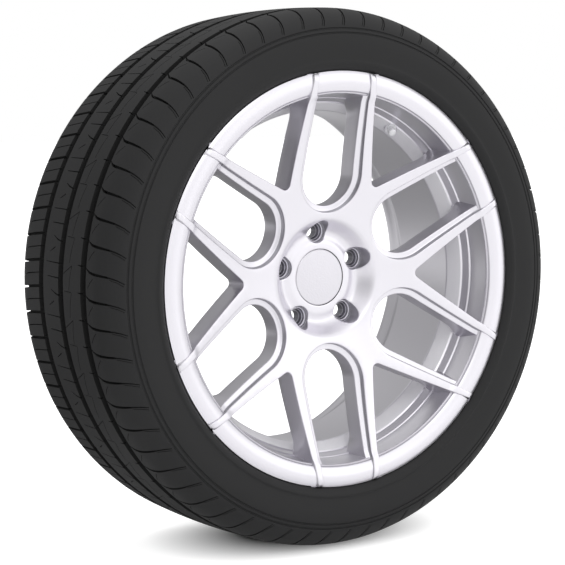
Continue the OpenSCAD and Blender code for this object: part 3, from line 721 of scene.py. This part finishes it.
def face_spots():
    """Points spread over the wheel's face and back, closer together at the hub and the lip."""
    hub, arm, lip, fewest = 3.2, 6.5, 2.5, 96
    first = 0.37  # of a step, so that no point stands on a line of symmetry
    rings = [(r, hub) for r in np.arange(36.6, 58, 1.5)]
    rings += [(r, hub if r < 60 else arm) for r in np.arange(59, 76, 3.0)]
    rings += [(r, arm) for r in np.arange(80, 222, 6.5)]
    spots = [r * circle(max(fewest, int(TURN * r / apart)), first) for r, apart in rings]
    spots += [r * circle(int(TURN * r / lip), first) for r in np.arange(226, 247, 2.5)]
    return np.vstack(spots)


def spoke_shell(p, form):
    """The hub and the twelve arms in one skin."""
    shell = Shell()
    walls = []
    for k in range(ARMS):
        kind, tones = ("U", U_TONES) if k % 2 else ("V", V_TONES)
        wall = []
        for row in window_wall(kind, p, form):
            flat = turned(np.array([q for q, _y in row]), k * TURN / ARMS)
            wall.append([(x, y, z) for (x, z), (_q, y) in zip(flat, row)])
        shell.strip(wall, tones=tones)
        walls.append(wall)
    for k in range(ARMS):
        shell.lid(walls[k][-1] + walls[(k + 1) % ARMS][0][::-1])

    steps, bore_steps = 48, 144
    seat = [(p.pocket + r, lambda at, dy=dy: form.front_y(at) + dy) for r, dy in POCKET_EDGE]
    seat += [(p.pocket + r, y) for r, y in POCKET_FLOOR]
    seat += list(BOLT_CONE) + [(p.bolt_hole, 0.0)]
    fronts, backs = [circle(bore_steps) * (p.cap + SEAM_EDGE[0][0])], [circle(bore_steps) * p.bore]
    turns = [math.pi / 2 + p.bolt_turn + TURN / BOLTS * k for k in range(BOLTS)]
    for a in turns:
        centre = p.bolt_circle / 2 * np.array([math.cos(a), math.sin(a)])
        shell.strip(ring_grid(centre, seat, steps), closed=True, tones=BOLT_TONES)
        fronts.append(centre + circle(steps) * (p.pocket + POCKET_EDGE[0][0]))
        backs.append(centre + circle(steps) * p.bolt_hole)
    bore = [(p.cap + r, y) for r, y in SEAM_EDGE] + list(HUB_BORE) + [(p.bore, 0.0)]
    shell.strip(ring_grid((0, 0), bore, bore_steps), closed=True, tones=SEAM_TONES)

    for a in turns:
        pocket = [[(x, y, z) for (x, z), y in ((q - n * d, y) for d, y in BACK_POCKET_EDGE)]
                  for q, n in zip(*back_pocket_outline(a + math.pi / BOLTS))]
        shell.strip(pocket, closed=True)
        shell.lid([row[-1] for row in pocket])
        backs.append(np.array([(row[0][0], row[0][2]) for row in pocket]))

    spots = face_spots()
    for place, holes, depth in ((0, fronts, form.front_y), (-1, backs, form.back_y)):
        outer = np.array([(row[place][0], row[place][2]) for wall in walls for row in wall])
        shell.surface(outer, holes, spots, depth)
    return shell


def back_pocket_outline(a):
    """A rounded sector between two bolt holes on the back: points and outward normals."""
    inner, outer, half, corner = 40.3, 68.0, math.radians(19.5), 5.0
    pts = []
    turn = np.linspace(0, math.pi / 2, 6)
    for radius, side, order in ((outer, 1, 1), (inner, 1, -1), (inner, -1, 1), (outer, -1, -1)):
        inward = -1 if radius == outer else 1
        mid_r = radius + inward * corner
        at = side * (half - math.asin(corner / mid_r))
        centre = np.array([mid_r * math.cos(at), mid_r * math.sin(at)])
        radial = np.array([math.cos(at), math.sin(at)]) * -inward
        across = np.array([-math.sin(side * half), math.cos(side * half)]) * side
        for t in turn[::order]:
            pts.append(centre + corner * (radial * math.cos(t) + across * math.sin(t)))
    # the outer side follows its circle from the last corner back to the first
    pts = np.array(pts)
    run = np.linspace(np.arctan2(*pts[-1][::-1]), np.arctan2(*pts[0][::-1]), 8)[1:-1]
    pts = np.vstack([pts, outer * np.c_[np.cos(run), np.sin(run)]])
    d = np.roll(pts, -1, axis=0) - np.roll(pts, 1, axis=0)
    n = np.c_[d[:, 1], -d[:, 0]] / np.hypot(*d.T)[:, None]
    n *= np.sign(((pts - pts.mean(0)) * n).sum(1))[:, None]
    return turned(pts, a), turned(n, a)


# The rim over both flanges, and its section as (radius, depth behind the lip's edge).
RIM_WIDTH = 227.2
# a flange, which is the same on both sides
FLANGE = ((248.3, 3.4), (247.95, 5.0), (247.1, 6.6), (245.7, 8.3), (243.9, 9.6), (241.8, 10.7),
          (239.3, 11.4), (235, 12), (232.6, 12.5), (231.4, 13.4), (231, 14.6))
# under the tyre: hump, drop, well and hump
TYRE_SIDE = ((229.4, 34), (230.3, 36), (230.5, 38), (229.9, 39.6), (228.4, 41.5), (209.5, 55),
             (207.6, 56.6), (206.6, 59), (206.4, 62), (208.4, 86), (209.2, 90), (211, 95),
             (219, 168), (220.6, 172), (228.2, 186), (229.9, 188.6), (230.4, 190),
             (230.2, 191.6), (229.3, 193.2))
# the wheel's inside: from the back flange down to the barrel
BACK_SIDE = ((242.5, 227.2), (241.2, 226.8), (232.5, 219.8), (226, 213), (223.6, 208),
             (223, 200), (222.6, 190), (221.6, 187), (217.6, 180.5), (215, 176.4),
             (213.4, 174.6), (212.9, 174.0), (212.3, 167.2), (212.0, 166.4), (210.7, 165.9),
             (209.9, 165.2))
# the barrel's front end with its turned band, and the slope that the arms stand on
FRONT_SIDE = ((202.6, 65), (202.2, 63.2), (202.3, 62.2), (202.9, 61.0), (210.6, 46.0),
              (211.1, 45.0), (211.5, 44.5), (212.6, 44.0), (213.3, 43.5), (213.7, 42.6),
              (216.2, 34.8), (216.5, 34.0), (217.0, 33.4), (217.8, 33.0), (218.2, 32.3),
              (219.7, 21), (220.6, 14), (221.2, 8.0), (221.5, 5.6))
# the bead inside the lip
LIP_BEAD = ((221.9, 4.4), (222.5, 3.9), (223.1, 3.8), (223.6, 4.1), (223.9, 4.3), (224.1, 4.0),
            (224.3, 3.4), (224.7, 2.7))
# radii and depths between which rows have the turned band's finish, and those of the bead, whose
# highlight the walls' darker paint tones down as painted shade
BAND_ROWS = (202.5, 212, 44, 62)
BEAD_ROWS = (221.7, 224.5, 3, 5)


def lip_row(p, t):
    """The lip's dished face: a share of the way from its inner edge to the flange."""
    radius = FLANGE[0][0]
    dish, inner_end, inner_rise, outer_start, outer_rise = -1.5, 0.55, 3.6, 0.62, 2.3
    inner = max(0, inner_end - t) / inner_end
    outer = max(0, t - outer_start) / (1 - outer_start)
    return (p.lip_edge + (radius - p.lip_edge) * t,
            dish + inner_rise * inner ** 2 + outer_rise * outer ** 2)


def rim_rows(p):
    """The rim's closed section as (radius, depth), with its edges rounded."""
    edge, width = FLANGE[0][0], RIM_WIDTH
    rows = [(edge, 1.4), *FLANGE, *TYRE_SIDE, *((r, width - y) for r, y in FLANGE[::-1]),
            (edge, width - 1.6), (edge - 0.4, width - 0.6), (edge - 1.5, width),
            *BACK_SIDE, *FRONT_SIDE, *LIP_BEAD]
    rows += [lip_row(p, t) for t in np.linspace(0, 1, 22)[:-1]] + [(edge - 0.05, 0.7)]
    return [(r, y + p.front) for r, y in rows]


def rows_between(rows, front, limits):
    """The numbers of the rows between two radii and two depths behind the lip's edge."""
    low, high, near, deep = limits
    return [j for j, (r, y) in enumerate(rows) if low < r < high and near < y - front < deep]


def valve_seat(obj, p):
    """Sinks the valve's spot face and its hole into the barrel, on a boss where the wall falls."""
    around, tilt = math.radians(p.valve_angle), math.radians(p.valve_tilt)
    out = Vector((-math.sin(tilt) * math.cos(around), -math.cos(tilt),
                  -math.sin(tilt) * math.sin(around)))
    base = Vector((p.valve_r * math.cos(around), p.front + p.valve_depth,
                   p.valve_r * math.sin(around)))
    turn = out.to_track_quat("Z", "Y").to_matrix()

    def lathe(name, rows):
        """A closed solid turned round the valve's axis from (radius, height) rows."""
        shell = Shell()
        shell.strip([[tuple(base + turn @ Vector((r * x, r * y, h))) for r, h in rows]
                     for x, y in circle(48)], closed=True)
        return shell.mesh(name, obj.data.materials[:])
    spot, wall, edge = p.spot_face, -p.valve_wall, p.spot_face - 0.4
    under, above = -18, 14  # how far the cut reaches on either side of the seat
    boss = lathe("valve_boss", [(0, wall), (edge, wall), (edge, -0.3), (edge - 0.3, 0), (0, 0)])
    cut = lathe("valve_cut", [(0, under), (p.seal_room, under), (p.seal_room, wall),
                              (p.stem_hole, wall), (p.stem_hole, 0), (spot, 0), (spot, above),
                              (0, above)])
    for other, way in ((boss, "UNION"), (cut, "DIFFERENCE")):
        modifier = obj.modifiers.new("seat", "BOOLEAN")
        modifier.object, modifier.operation, modifier.solver = other, way, "EXACT"
        graph = bpy.context.evaluated_depsgraph_get()
        mesh = bpy.data.meshes.new_from_object(obj.evaluated_get(graph))
        obj.modifiers.remove(modifier)
        obj.data = mesh
        bpy.data.objects.remove(other)
    # the cuts leave slivers, which are closed up
    form = bmesh.new()
    form.from_mesh(mesh)
    bmesh.ops.remove_doubles(form, verts=form.verts, dist=3e-5)
    bmesh.ops.triangulate(form, faces=form.faces)
    bmesh.ops.dissolve_degenerate(form, edges=form.edges, dist=1e-5)
    bmesh.ops.remove_doubles(form, verts=form.verts, dist=3e-5)
    form.to_mesh(mesh)
    form.free()
    shade(mesh, CAST_EDGE)


def number(name, description, default, **more):
    """A number that a user may change."""
    return bpy.props.FloatProperty(name=name, description=description, default=default, **more)


def angle(name, description, degrees):
    """An angle that a user may change: kept in radians and shown in degrees."""
    return number(name, description, math.radians(degrees), subtype="ANGLE")


def tone(name, default):
    """A colour that a user may change."""
    return bpy.props.StringProperty(name=name, description="sRGB hex", default=default)


class TyreSettings(bpy.types.PropertyGroup):
    """Sizes of the tyre, in millimetres, and its colours."""
    radius: number("Radius", "Outside radius", 326.6)
    half_width: number("Half width", "Half the section width", 120.079)
    shoulder: number("Shoulder", "Shoulder radius", 43.0)
    middle: number("Middle", "Depth of the centre plane", 35.0)
    edge_place: number("Lip edge", "Lip edge from the middle", 113.6)
    pitches: bpy.props.IntProperty(name="Pitches", description="Tread pitches, an even number",
                                   default=66)
    groove_depth: number("Groove depth", "Main groove depth", 7.5)
    groove_width: number("Groove width", "Main groove width", 12.0)
    groove_out: number("Outer groove", "Place across the tread", -63.3)
    groove_mid: number("Middle groove", "Place across the tread", -11.0)
    groove_in: number("Inner groove", "Place across the tread", 40.1)
    flat_depth: number("Flat", "Depth of the flat underneath", 1.6)
    rubber_dark: tone("Dark rubber", "#161617")
    rubber_light: tone("Light rubber", "#1b1b1c")
    # the grooves' darker black is painted shade
    rubber_groove_shade: tone("Groove rubber", "#0b0b0b")


class AlloySettings(bpy.types.PropertyGroup):
    """Sizes of the wheel, in millimetres, and the finish of its metal and cap."""
    front: number("Lip edge", "Depth", -78.6)
    outside: number("Arm end", "Radius", 248.0)
    lip_inside: number("Lip inside", "Radius", 226.8)
    lip_edge: number("Lip face", "Inner radius", 225.4)
    root: number("Root", "Radius", 77.0)
    root_y: number("Root depth", "Depth", -41.5)
    tip_y: number("Tip depth", "Depth", -78.2)
    bow: number("Bow", "Share", 0.35, subtype="FACTOR")
    spoke_depth: number("Spoke depth", "Face to back", 33.5)
    u_radius: number("U radius", "Round end", 44.3)
    u_centre: number("U place", "From the axle", 123.7)
    u_taper: angle("U taper", "Lean of each side", 3.5)
    v_radius: number("V radius", "Corner", 7.0)
    v_half: angle("V angle", "Half of it", 36.8)
    v_corner: number("V place", "From the axle", 121.6)
    ledge: number("Step width", "Round end", 8.0)
    ledge_tip: number("Step at rim", "Width", 6.0)
    ledge_drop: number("Step drop", "Depth", 7.0)
    foot: number("Foot", "Flare at the barrel", 7.0)
    foot_start: number("Foot start", "Radius where the flare begins", 196.0)
    foot_run: number("Foot run", "Radial length of the flare", 24.0)
    bolt_circle: number("Bolt circle", "Diameter", 112.0)
    bolt_turn: angle("Bolt turn", "First hole from the top", 3.5)
    bolt_hole: number("Bolt hole", "Radius", 7.5)
    pocket: number("Bolt pocket", "Radius", 14.0)
    bore: number("Hub bore", "Radius at the edge of the back", 34.5)
    cap: number("Cap", "Radius of its face", 34.2)
    boss: number("Boss", "Radius of the flat round the cap", 45.0)
    hub_y: number("Hub face", "Depth of that flat", -23.5)
    valve_angle: number("Valve", "Degrees round the axle", 59.5)
    valve_tilt: number("Valve tilt", "Degrees from the axle", 38.0)
    valve_r: number("Valve radius", "Its seat's place", 207.6)
    valve_depth: number("Valve depth", "Seat behind the lip", 50.18)
    spot_face: number("Spot face", "Radius", 8.0)
    stem_hole: number("Stem hole", "Radius", 4.25)
    seal_room: number("Seal room", "Radius", 8.3)
    valve_wall: number("Valve wall", "Thickness under the nut", 4.4)
    paint: tone("Paint", "#e4e2e8")
    # darker paints of painted shade: in the bolt holes, on the steps, in the cap's seam and on the
    # windows' walls
    paint_bolt_shade: tone("Bolt holes", "#84838a")
    paint_step_shade: tone("Steps", "#b4b3b8")
    paint_seam_shade: tone("Seam round the cap", "#5a595d")
    paint_wall_shade: tone("Walls of the windows", "#c6c4ca")
    turned: tone("Turned band", "#f0eff3")
    paint_metal: number("Metal", "Share of metal in the paint", 1.0, subtype="FACTOR")
    turned_metal: number("Turned metal", "Share of metal in the band", 0.1, subtype="FACTOR")
    cap_tone: tone("Cap tone", "#dcdae0")


class StageSettings(bpy.types.PropertyGroup):
    """Camera, lamps and floor."""
    azimuth: angle("Azimuth", "Camera's place round the wheel", -33.51)
    elevation: angle("Elevation", "Camera's height as an angle", 5.083)
    roll: angle("Roll", "Turn of the picture", -0.651)
    distance: number("Distance", "From the lip's centre", 2.1898, unit="LENGTH")
    right: number("Right", "Camera's step to its right", -0.07561, unit="LENGTH")
    up: number("Up", "Camera's step up", -0.00184, unit="LENGTH")
    lens: number("Lens", "Focal length in millimetres", 117.05)
    sensor: number("Sensor", "Width in millimetres", 36.0)
    lip_plane: number("Lip plane", "Place of the lip's edge", -0.0786, unit="LENGTH")
    sky: number("Sky", "Strength of the light in front", 1.15)
    sky_behind: number("Sky behind", "Strength behind the wheel", 0.4)
    card: number("Card", "Strength left of the camera", 0.6)
    paper: number("Paper", "Light of the floor as the camera sees it", 0.72)
    shine: number("Shine", "Light of the floor in front as metal sees it", 0.29)


class WHEEL_OT_tyre(bpy.types.Operator):
    """Builds the tyre with its tread"""
    bl_idname = "wheel.tyre"
    bl_label = "Build tyre"

    def execute(self, context):
        p = context.scene.wheel_tyre
        rubber = rubber_material(p)
        points, faces, sunk = tyre_segment(p)
        obj = mesh_object("tyre_visual", points, faces, rubber)
        flag = obj.data.attributes.new("sunk", "BOOLEAN", "FACE")
        flag.data.foreach_set("value", sunk)
        # a darker black in the grooves and on their walls: painted shade
        groove = plain_material("tyre rubber in the grooves, darkened as painted shade", p.rubber_groove_shade, 0, 0.85)
        tree, count, weld = round_tree(rubber, groove)
        mesh = baked(obj, tree, {count: p.pitches // 2, weld: 0.00002})
        co = np.empty(len(mesh.vertices) * 3)
        mesh.vertices.foreach_get("co", co)
        co = co.reshape(-1, 3)
        co[:, 2] = np.maximum(co[:, 2], -(p.radius - p.flat_depth) * MM)
        mesh.vertices.foreach_set("co", co.ravel())
        shade(mesh, RUBBER_EDGE)
        mesh.update()
        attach(obj, "wheel")
        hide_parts("tyre")
        return {"FINISHED"}


class WHEEL_OT_alloy(bpy.types.Operator):
    """Builds the cast wheel: its rim and its spokes"""
    bl_idname = "wheel.alloy"
    bl_label = "Build alloy wheel"

    def execute(self, context):
        p = context.scene.wheel_alloy
        # all finishes but the paint and the turned band are darker paint laid as painted shade
        finishes = {PAINT: ("silver wheel paint, satin", p.paint, p.paint_metal),
                    BOLT_SHADE: ("silver wheel paint, thin in the bolt holes", p.paint_bolt_shade,
                           p.paint_metal),
                    TURNED: ("turned alloy, lacquered", p.turned, p.turned_metal),
                    STEP_SHADE: ("silver wheel paint, thin in the steps", p.paint_step_shade, p.paint_metal),
                    WALL_SHADE: ("silver wheel paint, on the cast walls", p.paint_wall_shade, p.paint_metal),
                    SEAM_SHADE: ("silver wheel paint, dull in the cap's seam", p.paint_seam_shade,
                           p.paint_metal)}
        materials = [alloy_material(*finishes[index]) for index in sorted(finishes)]
        rim = Shell()
        rows = rim_rows(p)
        tones = dict.fromkeys(rows_between(rows, p.front, BAND_ROWS)[:-1], TURNED)
        # the bead takes the walls' darker paint: painted shade over its highlight
        tones |= dict.fromkeys(rows_between(rows, p.front, BEAD_ROWS), WALL_SHADE)
        rim.strip(ring_grid((0, 0), rows + rows[:1], 288), closed=True, tones=tones)
        spokes = spoke_shell(p, WheelForm(p))
        for name, shell in (("rim_visual", rim), ("spokes_visual", spokes)):
            obj = shell.mesh(name, materials)
            if shell is rim:
                valve_seat(obj, p)
            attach(obj, "wheel")
            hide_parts("alloy_wheel")
        return {"FINISHED"}


class WHEEL_OT_metal(bpy.types.Operator):
    """Gives the cap and the valve their finishes"""
    bl_idname = "wheel.metal"
    bl_label = "Finish cap and valve"

    def execute(self, context):
        p = context.scene.wheel_alloy
        cap = alloy_material("silver cap plastic, fine grained", p.cap_tone, 0.8, 0.36, 520.0, 0.9)
        steel = plain_material("spring steel, bright", "#9a9a9c", 1.0, 0.35)
        plated = plain_material("nickel plate, satin", "#f0f0f2", 0.55, 0.38)
        brass = plain_material("brass, plain", "#c9a85a", 1.0, 0.3)
        seal = plain_material("seal rubber, black", "#1b1b1b", 0.0, 0.7)
        red = plain_material("gasket, red", "#8c2018", 0.0, 0.6)
        finishes = {"centre_cap": cap, "cap_spring_ring": steel,
                    "valve_stem": plated, "valve_seal": seal, "valve_nut": plated,
                    "core_housing": brass, "core_gasket": red, "core_pin": brass,
                    "core_seal": seal, "core_spring": steel, "valve_cap": plated,
                    "valve_cap_seal": seal}
        for name, material in finishes.items():
            mesh = FRAME["nodes"][name].data
            mesh.materials.clear()
            mesh.materials.append(material)
        self.spring(FRAME["nodes"]["core_spring"])
        return {"FINISHED"}

    @staticmethod
    def spring(solid):
        """The valve's spring as a piece of its own."""
        press = next(j for j in FRAME["joints"] if j["name"] == "pin_press")
        mesh = solid.data.copy()
        form = bmesh.new()
        form.from_mesh(mesh)
        bmesh.ops.remove_doubles(form, verts=form.verts, dist=1e-6)
        form.to_mesh(mesh)
        form.free()
        spring = bpy.data.objects.new("core_spring_visual", mesh)
        bpy.context.scene.collection.objects.link(spring)
        axis = Vector(press["axis"])
        foot = max((v.co for v in mesh.vertices), key=axis.dot).copy()
        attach(spring, "wheel")
        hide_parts("core_spring")
        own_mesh(spring)


class WHEEL_OT_stage(bpy.types.Operator):
    """Sets up the floor, the lamps and the camera"""
    bl_idname = "wheel.stage"
    bl_label = "Set up stage"

    def execute(self, context):
        p = context.scene.wheel_stage
        scene = context.scene
        half, gap = 40.0, 0.0002
        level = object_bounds()[0][2] - gap
        corners = [(x * half, y * half, level) for x, y in ((-1, -1), (1, -1), (1, 1), (-1, 1))]
        floor = mesh_object("floor", corners, [(0, 1, 2, 3)], self.floor_material(p))
        floor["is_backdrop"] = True
        scene.world = self.studio(p)
        self.lamp(scene, "key", (-0.6, -3.0, 2.4), 1.8, 10)
        self.lamp(scene, "right", (2.6, -2.8, 1.0), 2.6, 8)
        self.lamp(scene, "top", (0.0, 0.4, 3.0), 2.0, 6)
        self.camera(scene, p)
        scene.view_settings.view_transform = "Standard"
        return {"FINISHED"}

    @staticmethod
    def studio(p):
        """White round about for the camera, and light that fades behind and beside it."""
        world = bpy.data.worlds.new("white studio")
        world.use_nodes = True
        tree = world.node_tree
        tree.nodes.clear()
        path = node(tree, "ShaderNodeLightPath", (-600, 200))
        where = node(tree, "ShaderNodeTexCoord", (-1100, 0)).outputs["Generated"]
        split = node(tree, "ShaderNodeSeparateXYZ", (-900, 0), {0: where})
        height = node(tree, "ShaderNodeMath", (-900, -200), {0: split.outputs["Z"], 1: -1.05},
                      operation="MULTIPLY")
        front = node(tree, "ShaderNodeMath", (-800, -100), {0: split.outputs["Y"],
                                                            1: height.outputs[0]})
        level = node(tree, "ShaderNodeMapRange", (-700, 0), {"Value": front.outputs[0]},
                     From_Min=-1.0, From_Max=0.5, To_Min=p.sky, To_Max=p.sky_behind)
        side = node(tree, "ShaderNodeVectorMath", (-900, 200), {0: where, 1: (-0.88, -0.47, 0.0)},
                    operation="DOT_PRODUCT")
        card = node(tree, "ShaderNodeMapRange", (-700, 250), {"Value": side.outputs["Value"]},
                    interpolation_type="SMOOTHSTEP", From_Min=0.72, From_Max=0.98, To_Min=1.0,
                    To_Max=p.card)
        shaded = node(tree, "ShaderNodeMath", (-500, 0), {0: level.outputs[0], 1: card.outputs[0]},
                      operation="MULTIPLY")
        white = (1, 1, 1, 1)
        lit = node(tree, "ShaderNodeBackground", (-300, 0), {"Strength": shaded.outputs[0]},
                   Color=white)
        seen = node(tree, "ShaderNodeBackground", (-300, -200), Color=white, Strength=1.0)
        mix = node(tree, "ShaderNodeMixShader", (0, 0),
                   {"Fac": path.outputs["Is Camera Ray"], 1: lit.outputs[0], 2: seen.outputs[0]})
        node(tree, "ShaderNodeOutputWorld", (200, 0), {"Surface": mix.outputs[0]})
        return world

    @staticmethod
    def lamp(scene, name, place, size, power):
        """A round lamp that points at the axle."""
        light = bpy.data.lights.new(name, "AREA")
        light.shape = "DISK"
        light.size = size
        light.energy = power
        obj = bpy.data.objects.new(name, light)
        obj.location = place
        obj.rotation_euler = (-Vector(place)).to_track_quat("-Z", "Y").to_euler()
        scene.collection.objects.link(obj)

    @staticmethod
    def floor_material(p):
        """White paper floor: shades as paper, and the camera sees it a little brighter, but for a
        painted contact shadow round the tyre's foot.
        """
        material, tree = new_material("white paper floor with a painted contact shadow")
        path = node(tree, "ShaderNodeLightPath", (-900, 200))
        where = node(tree, "ShaderNodeTexCoord", (-1300, 0)).outputs["Object"]
        split = node(tree, "ShaderNodeSeparateXYZ", (-1100, 0), {0: where})
        near = node(tree, "ShaderNodeMapRange", (-900, 0), {"Value": split.outputs["Y"]},
                    interpolation_type="SMOOTHSTEP", From_Min=-0.4, From_Max=0.4,
                    To_Min=p.shine, To_Max=0.0)
        # how far a place lies from the tyre's foot, in shares of the foot's half length and width,
        # for the painted contact shadow
        away = node(tree, "ShaderNodeVectorMath", (-1100, 400), {0: where, 1: (0.0, 0.04, 0.0)},
                    operation="SUBTRACT")
        away = node(tree, "ShaderNodeVectorMath", (-900, 400),
                    {0: away.outputs["Vector"], 1: (1 / 0.17, 1 / 0.14, 0.0)},
                    operation="MULTIPLY")
        away = node(tree, "ShaderNodeVectorMath", (-700, 400), {0: away.outputs["Vector"]},
                    operation="LENGTH")
        # the glow that the camera sees fades out towards the tyre's foot: a painted contact shadow
        paper = node(tree, "ShaderNodeMapRange", (-500, 400), {"Value": away.outputs["Value"]},
                     From_Min=0.4, From_Max=1.15, To_Min=0.0, To_Max=p.paper)
        shine = node(tree, "ShaderNodeMath", (-600, 0),
                     {0: path.outputs["Is Glossy Ray"], 1: near.outputs[0]}, operation="MULTIPLY")
        view = node(tree, "ShaderNodeMath", (-500, 200),
                    {0: path.outputs["Is Camera Ray"], 1: paper.outputs[0]}, operation="MULTIPLY")
        seen = node(tree, "ShaderNodeMath", (-300, 200), {0: view.outputs[0], 1: shine.outputs[0]},
                    operation="MAXIMUM")
        # a darker strip of floor behind the wheel, which only its metal shows
        strip = node(tree, "ShaderNodeMath", (-1100, -250), {0: split.outputs["Y"], 1: 0.8},
                     operation="SUBTRACT")
        strip = node(tree, "ShaderNodeMath", (-1000, -250), {0: strip.outputs[0]},
                     operation="ABSOLUTE")
        far = node(tree, "ShaderNodeMapRange", (-900, -250), {"Value": strip.outputs[0]},
                   interpolation_type="SMOOTHSTEP", From_Min=0.3, From_Max=0.9, To_Min=0.3,
                   To_Max=0.8)
        tint = node(tree, "ShaderNodeMixRGB", (-300, -100),
                    {"Fac": path.outputs["Is Glossy Ray"], "Color2": far.outputs[0]},
                    Color1=(0.8, 0.8, 0.8, 1))
        finish_material(tree, {"Emission Strength": seen.outputs[0],
                               "Base Color": tint.outputs[0]}, Roughness=0.9,
                        Specular_IOR_Level=0.0, Emission_Color=(1, 1, 1, 1))
        return material

    @staticmethod
    def camera(scene, p):
        """The camera of the picture, looking at the lip's centre and then stepped aside."""
        a, e, r = p.azimuth, p.elevation, p.roll
        back = Vector((math.sin(a) * math.cos(e), -math.cos(a) * math.cos(e), math.sin(e)))
        right = Vector((math.cos(a), math.sin(a), 0))
        up = back.cross(right)
        place = back * p.distance + right * p.right + up * p.up + Vector((0, p.lip_plane, 0))
        right, up = right * math.cos(r) + up * math.sin(r), up * math.cos(r) - right * math.sin(r)
        data = bpy.data.cameras.new("camera")
        data.lens = p.lens
        data.sensor_width = p.sensor
        data.clip_end = 200.0
        obj = bpy.data.objects.new("camera", data)
        turn = Matrix((right, up, back)).transposed().to_4x4()
        obj.matrix_world = Matrix.Translation(place) @ turn
        scene.collection.objects.link(obj)
        scene.camera = obj


class WHEEL_PT_panel(bpy.types.Panel):
    """Buttons that build the wheel piece by piece"""
    bl_label = "Wheel"
    bl_idname = "WHEEL_PT_panel"
    bl_space_type = "VIEW_3D"
    bl_region_type = "UI"
    bl_category = "Wheel"

    def draw(self, context):
        for group in GROUPS:
            settings = getattr(context.scene, group)
            box = self.layout.box()
            for name in settings.__annotations__:
                box.prop(settings, name)
        for operator in ("wheel.tyre", "wheel.alloy", "wheel.metal", "wheel.stage"):
            self.layout.operator(operator)


CLASSES = (TyreSettings, AlloySettings, StageSettings, WHEEL_OT_tyre, WHEEL_OT_alloy,
           WHEEL_OT_metal, WHEEL_OT_stage, WHEEL_PT_panel)
GROUPS = {"wheel_tyre": TyreSettings, "wheel_alloy": AlloySettings, "wheel_stage": StageSettings}


def register():
    """Makes the settings, the operators and the panel known to Blender."""
    for cls in CLASSES:
        bpy.utils.register_class(cls)
    for name, group in GROUPS.items():
        setattr(bpy.types.Scene, name, bpy.props.PointerProperty(type=group))


def unregister():
    """Takes them away again."""
    for name in GROUPS:
        delattr(bpy.types.Scene, name)
    for cls in reversed(CLASSES):
        bpy.utils.unregister_class(cls)


def main():
    """Builds every piece."""
    register()
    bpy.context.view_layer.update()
    bpy.ops.wheel.tyre()
    bpy.ops.wheel.alloy()
    bpy.ops.wheel.metal()
    bpy.ops.wheel.stage()


if __name__ == "__main__":
    main()
